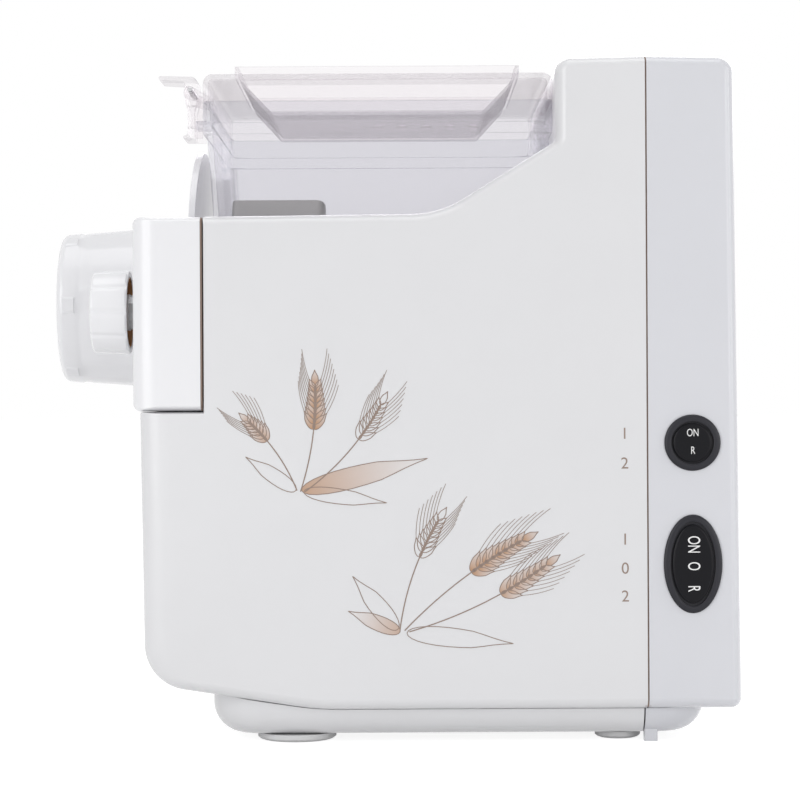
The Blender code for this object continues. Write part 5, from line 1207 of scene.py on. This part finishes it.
class Print:
    """Gathers the thin lines and the shaded shapes printed on the near side."""

    def __init__(self):
        self.lines = bpy.data.curves.new("print_lines", "CURVE")
        self.lines.dimensions = "3D"
        self.lines.bevel_depth = PRINT_LINE
        self.lines.bevel_resolution = 1
        self.fills = bmesh.new()
        self.shade = self.fills.verts.layers.float.new("shade")

    def line(self, points, closed=False, weight=1.0):
        spline = self.lines.splines.new("POLY")
        spline.points.add(len(points) - 1)
        for point, (x, z) in zip(spline.points, points):
            point.co = (x, SIDE_Y, z, 1)
            point.radius = weight
        spline.use_cyclic_u = closed

    def leaf(self, base, heading_deg, length, width, dark=0.0, light=0.0, outline=True, lift=1):
        """A pointed leaf or grain, shaded from its base to its tip, with an outline."""
        bm = bmesh.new()
        bmesh.ops.create_circle(bm, cap_ends=True, radius=0.5, segments=28)
        layer = bm.verts.layers.float.new("shade")
        turn = math.radians(heading_deg)
        for vert in bm.verts:
            along = vert.co.x + 0.5
            out = vert.co.y * width * (1.15 - 0.55 * along) * min(1.0, (1.02 - along) * 2.4 + 0.1)
            vert[layer] = dark + (light - dark) * along
            x, z = along * length, out
            vert.co = (
                base[0] + x * math.cos(turn) - z * math.sin(turn),
                SIDE_Y - PRINT_LIFT * lift,
                base[1] + x * math.sin(turn) + z * math.cos(turn),
            )
        if outline:
            self.line([(v.co.x, v.co.z) for v in bm.verts], True, 0.8)
        if dark or light:
            piece = bpy.data.meshes.new("piece")
            bm.to_mesh(piece)
            self.fills.from_mesh(piece)
            bpy.data.meshes.remove(piece)
        bm.free()

    def ear(self, base, heading_deg, length, bend_deg, grains, size, dark, light):
        """A stem with paired grains and long awns along its upper part."""
        path = curved_path(base, heading_deg, length, bend_deg, 40)
        self.line([point for point, heading in path], weight=1.1)
        start = len(path) - 1 - grains * 2
        for index in range(grains):
            point, heading = path[start + index * 2]
            degrees = math.degrees(heading)
            shrink = 1 - 0.35 * index / grains
            for side in (-1, 1):
                spread = side * (34 - 10 * index / grains)
                self.leaf(point, degrees + spread, size * shrink, size * 0.42 * shrink, dark, light, lift=1 + index % 3)
                reach = Vector((math.cos(heading + math.radians(spread)), math.sin(heading + math.radians(spread))))
                tip = point + reach * size * shrink
                awn = curved_path(tip, degrees + spread * 0.7, size * 1.5, -spread * 0.5, 6)
                self.line([place for place, turn in awn], weight=0.55)
        point, heading = path[-1]
        self.leaf(point, math.degrees(heading), size * 0.8, size * 0.36, dark, light)

    def finish(self):
        holder = bpy.data.objects.new("print_lines", self.lines)
        bpy.context.scene.collection.objects.link(holder)
        mesh = bpy.data.meshes.new_from_object(holder)
        bpy.data.objects.remove(holder)
        bm = bmesh.new()
        bm.from_mesh(mesh)
        for vert in bm.verts:
            vert.co.y = SIDE_Y + (vert.co.y - SIDE_Y) * 0.12 - PRINT_LIFT * 4
        dressed(new_object("print_outlines", bm), brown_ink, "root")
        for face in self.fills.faces:
            if face.normal.y > 0:
                face.normal_flip()
        dressed(new_object("print_shades", self.fills), tan_ink, "root")


def build_print():
    """Two sprays of wheat ears and blades, loosely drawn, on the near side."""
    design = Print()
    design.ear((-0.0365, 0.1100), 72, 0.046, 20, 8, 0.0088, 1.0, 0.25)
    design.ear((-0.0345, 0.1100), 36, 0.050, 26, 7, 0.0080, 0.0, 0.0)
    design.ear((-0.0380, 0.1105), 112, 0.036, 26, 6, 0.0078, 0.8, 0.1)
    design.leaf((-0.0360, 0.1105), 14, 0.056, 0.0100, 0.85, 0.0)
    design.leaf((-0.0385, 0.1105), 146, 0.026, 0.0070)
    design.leaf((-0.0350, 0.1100), -8, 0.036, 0.0072)
    design.ear((0.0080, 0.0500), 46, 0.064, -18, 8, 0.0098, 1.0, 0.2)
    design.ear((0.0060, 0.0505), 82, 0.050, -24, 7, 0.0085, 0.0, 0.0)
    design.ear((0.0100, 0.0495), 16, 0.066, 20, 7, 0.0092, 0.9, 0.15)
    design.leaf((0.0050, 0.0505), 130, 0.030, 0.0085)
    design.leaf((0.0060, 0.0495), 158, 0.024, 0.0072, 0.7, 0.0)
    design.leaf((0.0090, 0.0490), -6, 0.046, 0.0090)
    design.finish()


build_main_shell()
build_rear_shell()
build_front_panel()
build_seam_shadow_strips()
build_plinths()
build_feet()
build_bowl()
build_lid()
build_latch()
build_die_nut()
build_extruder()
build_paddles(build_auger())
build_hand_nuts()
build_switches()
build_print()


def add_area(name, location, size, power, target=(0, 0, 0.15), color=(1, 1, 1)):
    light = bpy.data.lights.new(name, "AREA")
    light.shape = "RECTANGLE"
    light.size, light.size_y = size
    light.energy = power
    light.color = color
    lamp = bpy.data.objects.new(name, light)
    bpy.context.scene.collection.objects.link(lamp)
    lamp.location = location
    lamp.rotation_euler = (Vector(target) - Vector(location)).to_track_quat("-Z", "Y").to_euler()
    return lamp


def seen_directly(tree):
    """1 for rays from the camera, from gloss and through clear parts, 0 for the light that falls on the object."""
    path = tree.nodes.new("ShaderNodeLightPath")
    found = path.outputs["Is Camera Ray"]
    for name in ("Is Glossy Ray", "Is Transmission Ray"):
        both = tree.nodes.new("ShaderNodeMath")
        both.operation = "MAXIMUM"
        tree.links.new(found, both.inputs[0])
        tree.links.new(path.outputs[name], both.inputs[1])
        found = both.outputs[0]
    return found


def build_studio():
    world = bpy.data.worlds.new("studio")
    bpy.context.scene.world = world
    world.use_nodes = True
    tree = world.node_tree
    tree.nodes["Background"].inputs["Strength"].default_value = 0.42
    seen = tree.nodes.new("ShaderNodeBackground")
    seen.inputs["Strength"].default_value = 1.0
    both = tree.nodes.new("ShaderNodeMixShader")
    for background in (tree.nodes["Background"], seen):
        background.inputs["Color"].default_value = (1, 1, 1, 1)
    tree.links.new(seen_directly(tree), both.inputs["Fac"])
    tree.links.new(tree.nodes["Background"].outputs[0], both.inputs[1])
    tree.links.new(seen.outputs[0], both.inputs[2])
    tree.links.new(both.outputs[0], tree.nodes["World Output"].inputs["Surface"])

    bm = bmesh.new()
    bmesh.ops.create_grid(bm, x_segments=1, y_segments=1, size=20)
    floor = new_object("floor", bm)
    material = bpy.data.materials.new("pale_floor")
    material.use_nodes = True
    tree = material.node_tree
    shader = tree.nodes["Principled BSDF"]
    shader.inputs["Base Color"].default_value = (0.92, 0.92, 0.92, 1)
    shader.inputs["Roughness"].default_value = 0.9
    glow = tree.nodes.new("ShaderNodeEmission")
    glow.inputs["Strength"].default_value = 1.35
    both = tree.nodes.new("ShaderNodeMixShader")
    share = tree.nodes.new("ShaderNodeMath")
    share.operation = "MULTIPLY"
    share.inputs[1].default_value = 0.65
    tree.links.new(seen_directly(tree), share.inputs[0])
    tree.links.new(share.outputs[0], both.inputs["Fac"])
    tree.links.new(shader.outputs[0], both.inputs[1])
    tree.links.new(glow.outputs[0], both.inputs[2])
    tree.links.new(both.outputs[0], tree.nodes["Material Output"].inputs["Surface"])
    floor.data.materials.append(material)

    add_area("key_softbox", (-1.5, -1.5, 0.75), (1.2, 1.3), 16)
    add_area("fill_softbox", (1.2, -1.7, 0.35), (1.2, 0.7), 6.5)
    add_area("low_softbox", (-0.9, -1.6, 0.10), (1.6, 0.18), 1.8, target=(-0.05, 0, 0.08))
    add_area("rear_edge_softbox", (1.7, -0.35, 0.5), (0.8, 1.2), 7)
    add_area("top_softbox", (0.0, -0.1, 1.9), (1.4, 1.4), 11)
    add_area("back_softbox", (0.4, 1.8, 1.0), (1.4, 1.2), 10)


def build_camera():
    data = bpy.data.cameras.new("camera")
    data.sensor_width = SENSOR_WIDTH * 1000
    data.lens = SENSOR_WIDTH * 1000 * CAMERA_DISTANCE / FRAME_WIDTH
    data.clip_start = 0.05
    data.clip_end = 50
    camera = bpy.data.objects.new("camera", data)
    bpy.context.scene.collection.objects.link(camera)
    camera.location = (CAMERA_X, MIDDLE_Y - CASE_HALF - CAMERA_DISTANCE, CAMERA_HEIGHT)
    camera.rotation_euler = (math.radians(90), math.radians(CAMERA_ROLL_DEG), 0)
    bpy.context.scene.camera = camera
    scene = bpy.context.scene
    scene.view_settings.view_transform = "Standard"
    scene.cycles.max_bounces = 16
    scene.cycles.transparent_max_bounces = 48
    scene.cycles.glossy_bounces = 8


build_studio()
build_camera()
